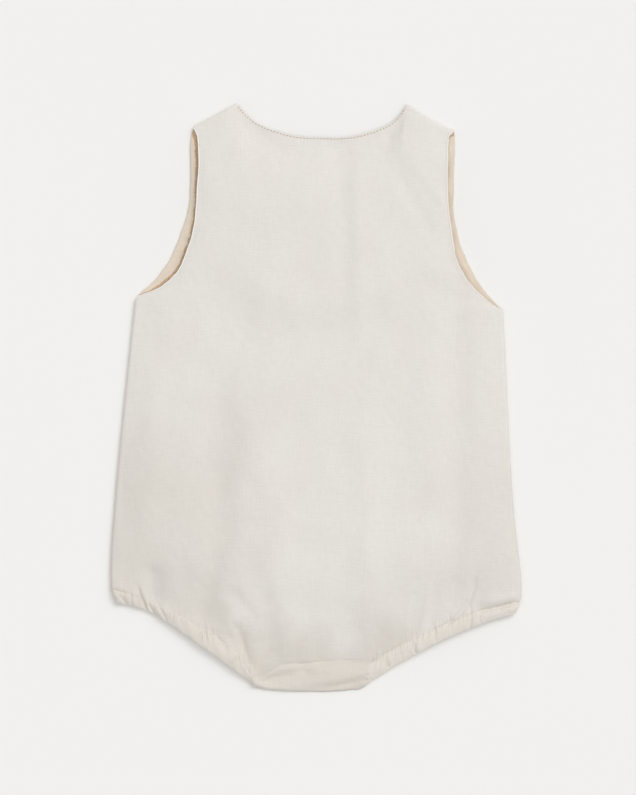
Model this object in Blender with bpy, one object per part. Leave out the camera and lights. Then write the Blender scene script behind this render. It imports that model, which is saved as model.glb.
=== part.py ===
"""A sleeveless baby romper of woven linen, laid flat with its back panel on top.

Two panels meet at the side and shoulder seams. Each leg opening has a gathered casing that
runs over the hip and back along the front, and a double band closes the crotch behind and
in front. A facing lines each armhole on the inside of the front panel. X runs to the right,
Y from the crotch to the neck and Z up. The part lies on the ground with its box centred on
the origin.
"""
import math
from collections import namedtuple

import bmesh
import bpy
from mathutils import Vector

MM = 0.001  # the sizes below are in millimetres

# The cloth
WALL = 1.2  # panels
BAND_WALL = 2.6  # the double cloth of the crotch bands
FACING_WALL = 1.0
SEAM_GAP = 0.3  # between neighbouring pieces
LEG_SEAM_GAP = 0.4  # between a panel and a casing, whose seam slants
CROTCH_END_GAP = 0.35  # between a crotch band and a casing's end

# The cut, as half widths from the centre line and heights above the crotch's fold
SHOULDER_TIP = (93.0, 398.5)
NECK_POINT = (60.5, 418.2)
SHOULDER_SAG = 1.0
UNDERARM = (130.6, 274.5)
HIP_FULL = (145.4, 80.0)  # where the sides are widest
HIP_CORNER = (141.9, 59.5)  # the casing's outer end
HIP_SEAM = (144.9, 70.0)  # the casing's stitch line at the side seam
CROTCH_CORNER = (38.6, 3.2)
CROTCH_SEAM_HALF = 41.4
CROTCH_SEAM_Y = {-1: 13.4, 1: 22.2}  # the band is deeper on the right
LEG_SAG = 6.2  # how far a leg edge bows out of a straight line

# The lie of the cloth on the table
HIP_SHIFT = 3.7  # the hips are pushed to the right
HIP_SHIFT_Y = 76.0
HIP_SHIFT_REACH = 45.0
SHOULDER_TILT = 0.021  # rise to the right for each millimetre across
SEAM_Z = 2.1  # the height at which the panels meet at the sides and shoulders
CURL = 2.0  # how far from a seam the cloth turns over
TURN_GAP = 0.4  # between the turned edges of the two panels
FRONT_Z = WALL / 2
LEG_Z = {"crotch": 4.2, "hip": 5.0}  # the back leg edge's middle surface at its ends
LEG_ARCH = 6.0  # how much higher it stands halfway along
LEG_ARCH_FADE = 85.0  # how far up the panel the arch runs out
NECK_RISE = 4.3  # how far the neck opening gapes
ARMHOLE_GAPE_FADE = 14.0  # length over which an armhole parts above the underarm
ARMHOLE_SLANT = 0.55  # square distance from its edge there, for each millimetre across

# Casings: two-layer tubes of cloth round an elastic, gathered into puckers
CASING_HALF = 1.3
CASING_EDGE = 0.6  # half the height of a casing's upright edges
CASING_FLAT = 0.86  # the share of its width that is flat
PUCKERS = 22  # on each back leg edge
PUCKER_RISE = 0.75
PUCKER_FULLNESS = 0.6  # how much of each wave stands above the plain tube
PUCKER_SCALLOP = 0.45
PUCKER_STEPS = 4  # stations a pucker
GATHER_RISE = 0.6  # the same puckers where they run out into the back panel
GATHER_REACH = 11.0

FACING_WIDTH = 24.0
FACING_INSET = 1.1  # the facing's edge lies this far inside the armhole
FACING_START_V = 0.02  # the share of the rows between the underarm and its lower end
FACING_TOP = 5.0  # from its upper end to the shoulder seam

# How each panel's neck and armholes are cut: the drop and roundness of the neck, the
# armhole's half width at its straight, where it starts to round out, and how sharply
Cut = namedtuple("Cut", "neck_drop neck_power arm_half arm_start arm_power")
BACK_CUT = Cut(24.0, 3.0, 89.8, 375.0, 4.0)
FRONT_CUT = Cut(58.0, 2.4, 93.4, 375.0, 3.0)

# Height of the back panel's middle surface beside the side seam and along the armhole
Edge = namedtuple("Edge", "y z")
BACK_EDGE = (
    Edge(70, 5.0),
    Edge(112, 4.0),
    Edge(274.5, 4.0),
    Edge(300, 6.6),
    Edge(372, 6.6),
    Edge(398.5, 4.0),
)

# How far the back panel swells above its edges, at its centre line
Crown = namedtuple("Crown", "y rise")
BACK_CROWN = (
    Crown(14, 0.0),
    Crown(55, 5.4),
    Crown(95, 8.2),
    Crown(145, 7.0),
    Crown(205, 5.2),
    Crown(265, 4.0),
    Crown(335, 2.6),
    Crown(398, 0.8),
)
CROWN_POWER = 5  # the sides fall off over the outer tenth of the width
CROWN_RAMP = 46.0  # the length over which the seat rises from its casing

# Soft folds in the back panel: from one end to the other, the rise (a trough's is
# negative) and how far each reaches to its side
Fold = namedtuple("Fold", "x0 y0 x1 y1 rise reach")
BACK_FOLDS = (
    Fold(10, 402, 20, 285, -0.9, 9),
    Fold(23, 380, 28, 255, 0.5, 6),
    Fold(36, 205, 39, 78, 0.9, 12),
    Fold(-68, 205, -66, 100, -1.3, 13),
    Fold(-69, 96, -77, 48, -1.2, 9),
    Fold(97, 300, 102, 82, -1.2, 11),
    Fold(76, 285, 78, 170, 0.7, 12),
    Fold(-30, 290, -12, 300, -0.4, 8),
    Fold(-108, 235, -112, 120, 0.6, 12),
    Fold(60, 384, 90, 344, 0.5, 6),
    Fold(52, 370, 79, 326, -0.5, 5),
    Fold(-5, 112, -4, 88, -0.8, 16),
    Fold(-32, 70, -31, 30, -0.9, 6),
    Fold(-18, 62, -17, 26, 0.6, 6),
    Fold(-57, 62, -56, 38, 0.7, 6),
    Fold(-113, 84, -112, 58, -0.8, 6),
    Fold(76, 82, 77, 36, -1.1, 5),
    Fold(92, 78, 92, 42, -0.8, 5),
    Fold(84, 84, 85, 40, 0.8, 5),
    Fold(116, 94, 119, 57, -1.2, 6),
    Fold(124, 63, 144, 73, -0.9, 4),
)

# Folds and gathers fade towards the edges, over these lengths
CALM = {"side": 14.0, "leg": 7.0, "top": 9.0, "top_share": 0.4, "gather": 8.0}

# The grid: columns across a panel and rows up it
Grid = namedtuple("Grid", "leg_columns crotch_columns shoulder_columns low_rows high_rows")
BACK_GRID = Grid(22, 5, 9, 15, 11)
FRONT_GRID = Grid(8, 3, 4, 7, 7)
EDGE_STEPS = (0.25, 0.7, 1.3, 2.1, 4.2)  # extra columns and rows beside a seam
GATHER_ROWS = (2.2, 5.5, 10.0, 16.0)  # rows with twice the columns, above the casing
UNDERARM_ROWS = (1.5, 4.0, 8.0, 13.0)  # extra rows above the side seam's end
UNDERARM_V = 0.62  # the share of a panel's rows that lies below the underarm
CORNER_FIT_V = 0.04  # the share over which a side comes in to the casing's corner
MEAN_WIDTH = 280.0
MEAN_LENGTH = 345.0
CASING_SPAN_STEPS = 14  # stations along a casing's plain front half
WRAP_STEPS = 6
STEP = 0.01  # along a leg line, for its direction
PROBE = 0.03  # between the points that give a sheet's direction

LINEN = (0.78, 0.74, 0.69, 1)
LINEN_BAND = (0.80, 0.76, 0.71, 1)
TAN = (0.72, 0.58, 0.42, 1)


def lerp(a, b, t):
    return a + (b - a) * t


def smooth(t):
    """An S-shaped step from 0 to 1."""
    t = min(max(t, 0.0), 1.0)
    return t * t * (3 - 2 * t)


def read_table(rows, key, value, at):
    """A column of a table, eased between its rows and held beyond its ends."""
    first, last = rows[0], rows[-1]
    at = min(max(at, getattr(first, key)), getattr(last, key))
    for low, high in zip(rows, rows[1:]):
        low_key, high_key = getattr(low, key), getattr(high, key)
        if at <= high_key:
            share = smooth((at - low_key) / (high_key - low_key))
            return lerp(getattr(low, value), getattr(high, value), share)
    return getattr(last, value)


# Outlines, in plan


def lay(x, y):
    """Where a point of the symmetric cut lies on the table."""
    hip = HIP_SHIFT * math.exp(-(((y - HIP_SHIFT_Y) / HIP_SHIFT_REACH) ** 2))
    share = smooth((y - UNDERARM[1]) / (SHOULDER_TIP[1] - UNDERARM[1]))
    return x + hip, y + SHOULDER_TILT * x * share


def leg_line(side, t, across):
    """A point of a leg's casing: t runs from crotch to hip, across from its outer edge
    (0) to its stitch line (1)."""
    bow = LEG_SAG * 4 * t * (1 - t)
    outer = Vector(CROTCH_CORNER).lerp(Vector(HIP_CORNER), t)
    inner = Vector((CROTCH_SEAM_HALF, CROTCH_SEAM_Y[side])).lerp(Vector(HIP_SEAM), t)
    point = outer.lerp(inner, across)
    return lay(side * point.x, point.y + bow)


def panel_edge_across():
    """How far across the casing's width a panel's edge starts."""
    return 1 + LEG_SEAM_GAP / math.dist(HIP_CORNER, HIP_SEAM)


def side_half_width(y):
    share = min((UNDERARM[1] - y) / (UNDERARM[1] - HIP_FULL[1]), 1.0)
    return lerp(UNDERARM[0], HIP_FULL[0], share)


def armhole_half_width(cut, y):
    share = max(cut.arm_start - y, 0.0) / (cut.arm_start - UNDERARM[1])
    straight = cut.arm_half + (UNDERARM[0] - cut.arm_half) * share**cut.arm_power
    tip = smooth((y - cut.arm_start) / (SHOULDER_TIP[1] - cut.arm_start))
    return lerp(straight, SHOULDER_TIP[0], tip)


def side_line(cut, side, v):
    """The side seam and then the armhole, from the casing's stitch line up."""
    start = leg_line(side, 1.0, panel_edge_across())
    if v <= UNDERARM_V:
        y = lerp(HIP_SEAM[1], UNDERARM[1], v / UNDERARM_V)
        half = side_half_width(y)
    else:
        y = lerp(UNDERARM[1], SHOULDER_TIP[1], (v - UNDERARM_V) / (1 - UNDERARM_V))
        half = armhole_half_width(cut, y)
    x, y = lay(side * (half - WALL / 2), y)
    fit = max(1 - v / CORNER_FIT_V, 0.0)
    corner = lay(side * (side_half_width(HIP_SEAM[1]) - WALL / 2), HIP_SEAM[1])
    return x + (start[0] - corner[0]) * fit, y + (start[1] - corner[1]) * fit


def column_count(grid):
    return 2 * grid.leg_columns + grid.crotch_columns


def leg_share(grid):
    """The share of a panel's columns that end on one leg."""
    return grid.leg_columns / column_count(grid)


def shoulder_share(grid):
    """The share of a panel's columns that end on one shoulder."""
    return grid.shoulder_columns / column_count(grid)


def top_line(cut, grid, u):
    """Left shoulder, neck and right shoulder, from left to right."""
    shoulder = shoulder_share(grid)
    side = -1 if u < 0.5 else 1
    reach = min(u, 1 - u) / shoulder
    tip = (SHOULDER_TIP[0] - WALL / 2, SHOULDER_TIP[1])
    if reach < 1:
        x = lerp(tip[0], NECK_POINT[0], reach)
        y = lerp(tip[1], NECK_POINT[1], reach) - SHOULDER_SAG * 4 * reach * (1 - reach)
        return lay(side * x, y)
    x = NECK_POINT[0] * (1 - (min(u, 1 - u) - shoulder) / (0.5 - shoulder))
    rise = (x / NECK_POINT[0]) ** cut.neck_power
    return lay(side * x, NECK_POINT[1] - cut.neck_drop * (1 - rise))


def bottom_line(grid, u):
    """Left leg, crotch seam and right leg, from left to right."""
    leg = leg_share(grid)
    across = panel_edge_across()
    if u < leg:
        return leg_line(-1, 1 - u / leg, across)
    if u > 1 - leg:
        return leg_line(1, 1 - (1 - u) / leg, across)
    left = Vector(leg_line(-1, 0, across))
    right = Vector(leg_line(1, 0, across))
    return tuple(left.lerp(right, (u - leg) / (1 - 2 * leg)))


def coons(bottom, top, left, right, corners, u, v):
    """A point of the patch inside four edges."""
    ruled_v = bottom.lerp(top, v)
    ruled_u = left.lerp(right, u)
    low = corners[0].lerp(corners[1], u)
    high = corners[2].lerp(corners[3], u)
    return ruled_v + ruled_u - low.lerp(high, v)


def panel_plan(cut, grid, u, v):
    edge = [Vector(bottom_line(grid, u)), Vector(top_line(cut, grid, u))]
    edge += [Vector(side_line(cut, -1, v)), Vector(side_line(cut, 1, v))]
    corners = [Vector(bottom_line(grid, 0)), Vector(bottom_line(grid, 1))]
    corners += [Vector(top_line(cut, grid, 0)), Vector(top_line(cut, grid, 1))]
    return coons(*edge, corners, u, v)


# Heights


def quarter_turn(distance, sewn):
    """How far cloth at a distance from a seam turns over it: 1 on the seam and 0 where the
    turn ends. Past the seam's end the turn slides off the edge, as sewn falls from 1 to 0."""
    reach = 1 - distance / CURL - (1 - sewn)
    return 1 - math.sqrt(1 - max(reach, 0.0) ** 2)


def seam_turn(grid, u, v):
    """How far a point has turned over the side seam or the shoulder seam."""
    above = (v - UNDERARM_V) / (1 - UNDERARM_V) * (SHOULDER_TIP[1] - UNDERARM[1])
    sewn_side = 1 - smooth(above / ARMHOLE_GAPE_FADE)
    past_neck = (min(u, 1 - u) - shoulder_share(grid)) * MEAN_WIDTH
    sewn_top = 1 - smooth(past_neck / ARMHOLE_GAPE_FADE)
    slant = lerp(1, ARMHOLE_SLANT, smooth(above / ARMHOLE_GAPE_FADE * 4))
    side = quarter_turn(min(u, 1 - u) * MEAN_WIDTH * slant, sewn_side)
    top = quarter_turn((1 - v) * MEAN_LENGTH, sewn_top)
    return 1 - (1 - side) * (1 - top)


def leg_height(t):
    return lerp(LEG_Z["crotch"], LEG_Z["hip"], t) + LEG_ARCH * math.sin(math.pi * t)


def leg_place(grid, u):
    """Where along a leg a column ends: 0 at the crotch, 1 at the hip."""
    return max(1 - min(u, 1 - u) / leg_share(grid), 0.0)


def pucker(t):
    """One wave for each pucker, in uneven sizes along the leg."""
    strength = 0.72 + 0.28 * math.sin(2.3 * PUCKERS * t + 1.1)
    return strength * math.cos(2 * math.pi * PUCKERS * t)


def neck_height(grid, u):
    shoulder = shoulder_share(grid)
    inside = max(min(u, 1 - u) - shoulder, 0.0) / (0.5 - shoulder)
    return BACK_EDGE[-1].z + NECK_RISE * (1 - (1 - inside) ** 2)


def fold_height(x, y):
    """The folds' sum: each has a rounded section and fades out at its ends."""
    height = 0.0
    for fold in BACK_FOLDS:
        start, end = Vector((fold.x0, fold.y0)), Vector((fold.x1, fold.y1))
        run = end - start
        t = (Vector((x, y)) - start).dot(run) / run.length_squared
        away = (Vector((x, y)) - start.lerp(end, t)).length / fold.reach
        from_end = min(t, 1 - t) * run.length / fold.reach
        ends = smooth((from_end + 1) / 2)
        height += fold.rise * ends * math.exp(-(away**2))
    return height


def back_point(u, v):
    """The back panel's middle surface."""
    plan = panel_plan(BACK_CUT, BACK_GRID, u, v)
    t = leg_place(BACK_GRID, u)
    inward = min(u, 1 - u) * MEAN_WIDTH
    above_leg = v * MEAN_LENGTH
    below_top = (1 - v) * MEAN_LENGTH

    edge = read_table(BACK_EDGE, "y", "z", side_line(BACK_CUT, 1, v)[1])
    low = lerp(LEG_Z["crotch"], LEG_Z["hip"], t)
    high = neck_height(BACK_GRID, u)
    z = lerp(low, high, v) + edge - lerp(BACK_EDGE[0].z, BACK_EDGE[-1].z, v)
    z += LEG_ARCH * math.sin(math.pi * t) * (1 - smooth(above_leg / LEG_ARCH_FADE))

    swell = read_table(BACK_CROWN, "y", "rise", plan.y) * smooth(above_leg / CROWN_RAMP)
    z += swell * (1 - (1 - 2 * min(u, 1 - u)) ** CROWN_POWER)

    calm = smooth(inward / CALM["side"]) * smooth(above_leg / CALM["leg"])
    calm *= smooth(CALM["top_share"] + below_top / CALM["top"])
    z += fold_height(plan.x, plan.y) * calm

    run_out = math.exp(-above_leg / GATHER_REACH) * smooth(inward / CALM["gather"])
    z += GATHER_RISE * pucker(t) * run_out * smooth(t * PUCKERS)
    meeting = SEAM_Z + TURN_GAP / 2
    return Vector((plan.x, plan.y, lerp(z, meeting, seam_turn(BACK_GRID, u, v))))


def front_point(u, v):
    """The front panel's middle surface, flat on the ground but for its turned seams."""
    plan = panel_plan(FRONT_CUT, FRONT_GRID, u, v)
    meeting = SEAM_Z - TURN_GAP / 2
    return Vector((plan.x, plan.y, lerp(FRONT_Z, meeting, seam_turn(FRONT_GRID, u, v))))


# Rows of points, and the meshes through them


def column_places(grid, doubled):
    """The places of a row's points across a panel, closer beside the seams."""
    count = column_count(grid)
    steps = 2 if doubled else 1
    edges = [0.0] + [step / MEAN_WIDTH for step in EDGE_STEPS]
    inner = [k / (count * steps) for k in range(steps, (count - 1) * steps + 1)]
    return edges + inner + [1 - place for place in reversed(edges)]


def row_places(grid):
    """The places of a panel's rows: doubled ones above the casing, closer ones at the top."""
    start = GATHER_ROWS[-1] / MEAN_LENGTH
    low = [lerp(start, UNDERARM_V, k / grid.low_rows) for k in range(1, grid.low_rows + 1)]
    top = 1 - EDGE_STEPS[-1] / MEAN_LENGTH
    extra = [UNDERARM_V + height / MEAN_LENGTH for height in UNDERARM_ROWS]
    high = [lerp(UNDERARM_V, top, k / grid.high_rows) for k in range(1, grid.high_rows + 1)]
    high = extra + [place for place in high if place > extra[-1] + 1 / MEAN_LENGTH]
    last = [1 - step / MEAN_LENGTH for step in reversed(EDGE_STEPS[:-1])] + [1.0]
    return low + high + last


def upright(point, u, v):
    """The direction square to a sheet, on its upper side."""
    step_u, step_v = PROBE / MEAN_WIDTH, PROBE / MEAN_LENGTH
    across = point(min(u + step_u, 1), v) - point(max(u - step_u, 0), v)
    along = point(u, min(v + step_v, 1)) - point(u, max(v - step_v, 0))
    return across.cross(along).normalized()


def sheet_row(point, places, v):
    """A row of (place, point, upright) across a sheet."""
    return [(u, point(u, v), upright(point, u, v)) for u in places]


def panel_rows(point, grid, gathered):
    low = [0.0] + [height / MEAN_LENGTH for height in GATHER_ROWS]
    rows = [sheet_row(point, column_places(grid, gathered), v) for v in low]
    return rows + [sheet_row(point, column_places(grid, False), v) for v in row_places(grid)]


def strip_rows(point, across_count, along_count):
    places = [i / across_count for i in range(across_count + 1)]
    return [sheet_row(point, places, j / along_count) for j in range(along_count + 1)]


def face_between(mesh, low, high):
    """Joins two rows; a cell with a middle point in its lower side gets three triangles."""
    low_index = 0
    for (_, a), (next_place, b) in zip(high, high[1:]):
        under = [low[low_index][1]]
        while low[low_index][0] < next_place - 1e-9:
            low_index += 1
            under.append(low[low_index][1])
        if len(under) == 2:
            mesh.faces.new((under[0], under[1], b, a))
        else:
            mesh.faces.new((under[0], under[1], a))
            mesh.faces.new((under[1], b, a))
            mesh.faces.new((under[1], under[2], b))


def material(name, colour, roughness):
    made = bpy.data.materials.new(name)
    made.use_nodes = True
    shader = made.node_tree.nodes["Principled BSDF"]
    shader.inputs["Base Color"].default_value = colour
    shader.inputs["Roughness"].default_value = roughness
    shader.inputs["Metallic"].default_value = 0.0
    return made


def add_object(name, build, colour, collection):
    """A named object with its own material, from a finished bmesh."""
    mesh = bpy.data.meshes.new(name)
    build.to_mesh(mesh)
    build.free()
    mesh.shade_smooth()
    mesh.materials.append(material(name + "_cloth", colour, 0.9))
    made = bpy.data.objects.new(name, mesh)
    collection.objects.link(made)
    return made


def outline(laid):
    """The vertices round a sheet's edge."""
    rows = [[vertex for _, vertex in row] for row in laid]
    right = [row[-1] for row in rows[1:-1]]
    left = [row[0] for row in reversed(rows[1:-1])]
    return rows[0] + right + rows[-1][::-1] + left


def add_cloth(name, rows, wall, colour, collection):
    """A closed sheet: two faces on either side of the rows, and the rim between them."""
    build = bmesh.new()
    edges = []
    for lift in (wall / 2, -wall / 2):
        laid = []
        for row in rows:
            points = [(place, point + normal * lift) for place, point, normal in row]
            laid.append([(place, build.verts.new(point * MM)) for place, point in points])
        for low, high in zip(laid, laid[1:]):
            face_between(build, low, high)
        edges.append(outline(laid))
    upper, lower = edges
    for k in range(len(upper)):
        build.faces.new((upper[k - 1], upper[k], lower[k], lower[k - 1]))
    bmesh.ops.recalc_face_normals(build, faces=build.faces)
    return add_object(name, build, colour, collection)


# Casings


def turn_radius():
    """The radius at which a casing's middle turns from the back over the hip."""
    return (leg_height(1.0) - CASING_HALF) / 2


def casing_stations():
    """Places along a casing: along the leg, height, turn over the hip, and pucker."""
    past = (turn_radius() + CASING_HALF) / math.dist(CROTCH_CORNER, HIP_CORNER)
    last = 1 - past
    stations = []
    back_count = PUCKERS * PUCKER_STEPS
    for k in range(back_count + 1):
        t = last * k / back_count
        calm = smooth(min(t, last - t) * PUCKERS)
        stations.append((t, leg_height(t), 0.0, pucker(t) * calm))
    for k in range(1, WRAP_STEPS):
        turn = math.pi * k / WRAP_STEPS
        height = CASING_HALF + turn_radius() * (1 + math.cos(turn))
        stations.append((last, height, turn, 0.0))
    for k in range(CASING_SPAN_STEPS + 1):
        stations.append((last * (1 - k / CASING_SPAN_STEPS), CASING_HALF, math.pi, 0.0))
    return stations


def casing_ring(side, t, height, turn, wave):
    """The eight corners of a casing's section."""
    outer, inner = Vector(leg_line(side, t, 0)), Vector(leg_line(side, t, 1))
    across = (inner - outer).to_3d()
    ahead = Vector(leg_line(side, t + STEP, 0.5)) - Vector(leg_line(side, t - STEP, 0.5))
    outward = ahead.to_3d().normalized()
    middle = outer.lerp(inner, 0.5).to_3d() + outward * turn_radius() * math.sin(turn)
    middle.z = height
    half = CASING_HALF
    up = Vector((0, 0, math.cos(turn))) + outward * math.sin(turn)
    crest = max(PUCKER_RISE * (wave + PUCKER_FULLNESS), 0.0) if turn == 0 else 0.0
    edge = across / 2
    outer_edge = -edge - across.normalized() * PUCKER_SCALLOP * wave
    section = (
        (outer_edge, -CASING_EDGE),
        (outer_edge * CASING_FLAT, -half),
        (edge * CASING_FLAT, -half),
        (edge, -CASING_EDGE),
        (edge, CASING_EDGE),
        (edge * CASING_FLAT, half + crest * 0.6),
        (outer_edge * 0.55, half + crest),
        (outer_edge, CASING_EDGE),
    )
    return [middle + offset + up * lift for offset, lift in section]


def add_casing(name, side, collection):
    """A casing: one closed tube from the crotch over the hip and back along the front."""
    build = bmesh.new()
    rings = []
    for t, height, turn, wave in casing_stations():
        corners = casing_ring(side, t, height, turn, wave)
        rings.append([build.verts.new(corner * MM) for corner in corners])
    count = len(rings[0])
    for ring, following in zip(rings, rings[1:]):
        for k in range(count):
            beside = (k + 1) % count
            build.faces.new((ring[k], ring[beside], following[beside], following[k]))
    build.faces.new(reversed(rings[0]))
    build.faces.new(rings[-1])
    bmesh.ops.recalc_face_normals(build, faces=build.faces)
    return add_object(name, build, LINEN_BAND, collection)


# Crotch bands and armhole facings


def crotch_band_rows(height):
    """The band between the casings' ends: from its fold at the crotch up to its seam."""

    def point(s, t):
        left = Vector(leg_line(-1, 0, t)) + Vector((CROTCH_END_GAP, 0))
        right = Vector(leg_line(1, 0, t)) - Vector((CROTCH_END_GAP, 0))
        place = left.lerp(right, s)
        sag = CROTCH_CORNER[1] * (1 - (2 * s - 1) ** 4) * (1 - t)
        return Vector((place.x, place.y - sag, height))

    return strip_rows(point, 10, 3)


def armhole_facing_rows(side):
    """A strip inside the front panel, from the underarm to the shoulder."""
    lift = (WALL + FACING_WALL) / 2 + SEAM_GAP
    low, high = UNDERARM_V + FACING_START_V, 1 - FACING_TOP / MEAN_LENGTH

    def point(s, t):
        v = lerp(low, high, t)
        edge = (FACING_INSET + WALL / 2) / MEAN_WIDTH
        reach = lerp(edge, edge + FACING_WIDTH / MEAN_WIDTH, s if side < 0 else 1 - s)
        on_front = front_point(reach if side < 0 else 1 - reach, v)
        return on_front + Vector((0, 0, lift))

    return strip_rows(point, 3, 16)


def clear_scene():
    for item in list(bpy.data.objects):
        bpy.data.objects.remove(item, do_unlink=True)


def stand_on_origin(objects):
    """Centres the part's box on the origin, with its lowest point on the ground."""
    bpy.context.view_layer.update()
    depsgraph = bpy.context.evaluated_depsgraph_get()
    points = []
    for item in objects:
        shaped = item.evaluated_get(depsgraph)
        points += [shaped.matrix_world @ vertex.co for vertex in shaped.data.vertices]
    low = Vector([min(point[axis] for point in points) for axis in range(3)])
    high = Vector([max(point[axis] for point in points) for axis in range(3)])
    for item in objects:
        item.location -= Vector(((low.x + high.x) / 2, (low.y + high.y) / 2, low.z))


def main():
    clear_scene()
    romper = bpy.data.collections.new("baby_romper")
    bpy.context.scene.collection.children.link(romper)
    made = [
        add_cloth("back_panel", panel_rows(back_point, BACK_GRID, True), WALL, LINEN, romper),
        add_cloth("front_panel", panel_rows(front_point, FRONT_GRID, False), WALL, LINEN, romper),
        add_casing("leg_casing_left", -1, romper),
        add_casing("leg_casing_right", 1, romper),
    ]
    for name, height in (("crotch_band_back", LEG_Z["crotch"]), ("crotch_band_front", BAND_WALL / 2)):
        made.append(add_cloth(name, crotch_band_rows(height), BAND_WALL, LINEN_BAND, romper))
    for name, side in (("armhole_facing_left", -1), ("armhole_facing_right", 1)):
        made.append(add_cloth(name, armhole_facing_rows(side), FACING_WALL, TAN, romper))
    stand_on_origin(made)


main()
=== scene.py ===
"""The shown model of a sleeveless linen baby romper, laid flat with its back panel on top.

Every cloth piece is a closed shell on its solid's form, with finer folds, gathers and
stitching. Sizes are in millimetres in the garment's own axes, as in the part's source: X to
the right from the body's centre line, Y up from the fold at the crotch and Z up. shift()
turns them into metres in the part's frame.
"""
import math
from collections import namedtuple

import bpy
import numpy as np
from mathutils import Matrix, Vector


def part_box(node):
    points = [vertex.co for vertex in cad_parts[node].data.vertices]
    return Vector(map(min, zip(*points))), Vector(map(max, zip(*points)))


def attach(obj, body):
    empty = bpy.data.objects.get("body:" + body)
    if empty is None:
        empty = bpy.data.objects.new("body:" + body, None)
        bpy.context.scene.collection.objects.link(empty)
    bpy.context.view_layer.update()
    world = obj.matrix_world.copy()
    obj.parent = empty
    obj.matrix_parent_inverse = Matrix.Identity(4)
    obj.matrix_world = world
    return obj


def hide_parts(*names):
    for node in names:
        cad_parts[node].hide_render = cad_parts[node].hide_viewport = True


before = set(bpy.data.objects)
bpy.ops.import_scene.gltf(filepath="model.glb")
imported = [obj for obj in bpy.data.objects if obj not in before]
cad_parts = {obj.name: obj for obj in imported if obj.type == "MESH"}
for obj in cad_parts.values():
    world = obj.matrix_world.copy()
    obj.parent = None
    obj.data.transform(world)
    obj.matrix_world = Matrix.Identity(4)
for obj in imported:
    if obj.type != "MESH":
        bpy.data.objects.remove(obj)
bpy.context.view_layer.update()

MM = 0.001
SIDES = ((-1, "left"), (1, "right"))

# The cut and the lie of the cloth, as in the part's source but for the neck's free edge
WALL = 1.2
SHOULDER_TIP = (93.0, 398.5)
NECK_POINT = (60.5, 418.2)
SHOULDER_SAG = 0.1
UNDERARM = (130.6, 274.5)
HIP_FULL = (145.4, 80.0)
HIP_CORNER = (141.9, 59.5)
HIP_SEAM = (144.9, 70.0)
CROTCH_CORNER = (38.6, 3.2)
CROTCH_SEAM_HALF = 41.4
CROTCH_SEAM_Y = {-1: 20.5, 1: 22.2}
CROTCH_END_GAP = 0.35
LEG_SAG = 6.2
HIP_SHIFT = 3.7
HIP_SHIFT_Y = 76.0
HIP_SHIFT_REACH = 45.0
SHOULDER_TILT = 0.021
SEAM_Z = 2.1  # the height at which the panels meet
CURL = 2.0  # the seams turn down over this distance
TURN_GAP = 0.4
FRONT_Z = WALL / 2
LEG_Z = {"crotch": 4.2, "hip": 5.0}
LEG_ARCH = {-1: 1.2, 1: 2.4}
LEG_ARCH_FADE = 85.0
NECK_RISE = 1.4  # the neck's free edge from the shoulders to the middle, before its droop
NECK_DROOP = 3.5  # how far the free neck edge sinks towards the ground
DROOP_START = 0.16  # from this share outside the neck point
DROOP_RATE = 2.6
DROOP_REACH = 44.0  # and this far down
ARMHOLE_GAPE_FADE = 14.0  # an armhole's edge leaves the front panel over this distance
NECK_GAPE_FADE = 6.0  # and the neck's edge over this
ARMHOLE_SLANT = 0.55
CASING_HALF = 1.3
FACING_WIDTH = 24.0
FACING_INSET = 0.4 / 180  # a share of the panel's width
FACING_LIFT = 0.45
MEAN_WIDTH = 280.0  # a panel's mean size, which turns shares of it into distances
MEAN_LENGTH = 345.0
UNDERARM_V = 0.62  # the underarm's share of the way up a panel
CORNER_FIT_V = 0.04  # below this the side bends to the casing's corner
SIDE_SWAY_V = 0.93  # above this the sides' bends reach less far inwards
SIDE_SWAY_POWER = 5
CROWN_POWER = 5
CROWN_RAMP = 46.0

# Where each panel's corners lie, as shares of its width

Cut = namedtuple("Cut", "word leg_share shoulder_share")
BACK_CUT = Cut("back", 22 / 49, 9 / 49)
FRONT_CUT = Cut("front", 8 / 19, 4 / 19)
FRONT_NECK = (58.0, 2.4)  # its drop and how square its curve is

# The back panel's edge height and its crown over that, by height up the body
BACK_EDGE = ((70, 5.0), (112, 4.0), (274.5, 4.0), (300, 6.6), (372, 6.6), (398.5, 4.0))
BACK_CROWN = (
    (14, 0), (55, 5.4), (95, 8.2), (145, 7), (205, 5.2), (265, 4), (335, 2.6), (398, 0.8),
)

# The shown cloth
SHELL = 0.9  # thickness
SHELL_RIM = 0.3  # how far a shell's edge rounds outwards
SEAM_HEIGHT = 4.8  # the crotch seam's height in the middle
SEAM_VALLEY = (1.7, 9.0)  # the panel's valley above it: depth and reach
SEAM_DIP = (0.85, 5.5)  # and how it dips closer to the seam
SEAM_STEP = -0.13  # the band's middle lies this far above the panel's at the seam
SEAM_MERGE = 3.2  # and comes to it over this distance
NECK_SHIFT = -2.0  # the neck points lie this far to the right
NECK_LEAN = 1.7  # and the line between them this much further
RIGHT_SAG = 1.2  # and the right shoulder's line hangs this much lower
TIP_LIFT = {-1: 2.0, 1: -0.4}  # how much higher each shoulder tip lies
NECK_DOWN = {-1: 1.4, 1: 1.1}  # and how much lower each neck point
LEFT_BULGE = (1.4, 97.0, 25.0)  # width, height up the side and reach of the fuller left hip
RIGHT_TRIM = 1.8  # the outer edge of the right casing's crotch end lies higher
RIGHT_TRIM_REACH = 0.15  # along this share of the leg
# How much further in each casing's outer edge lies, along the leg from the crotch
EDGE_TRIM = {
    -1: (
        (0.35, 0), (0.5, 0.8), (0.575, 1.7), (0.65, 2.3), (0.73, 3.1), (0.8, 3.2), (0.88, 2.2), (1, 0.3),
    ),
    1: ((0, 0), (0.125, 1.3), (0.2, 1.6), (0.3, 1.1), (0.5, 1.1), (0.8, 0.9), (1, 0.2)),
}

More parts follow.
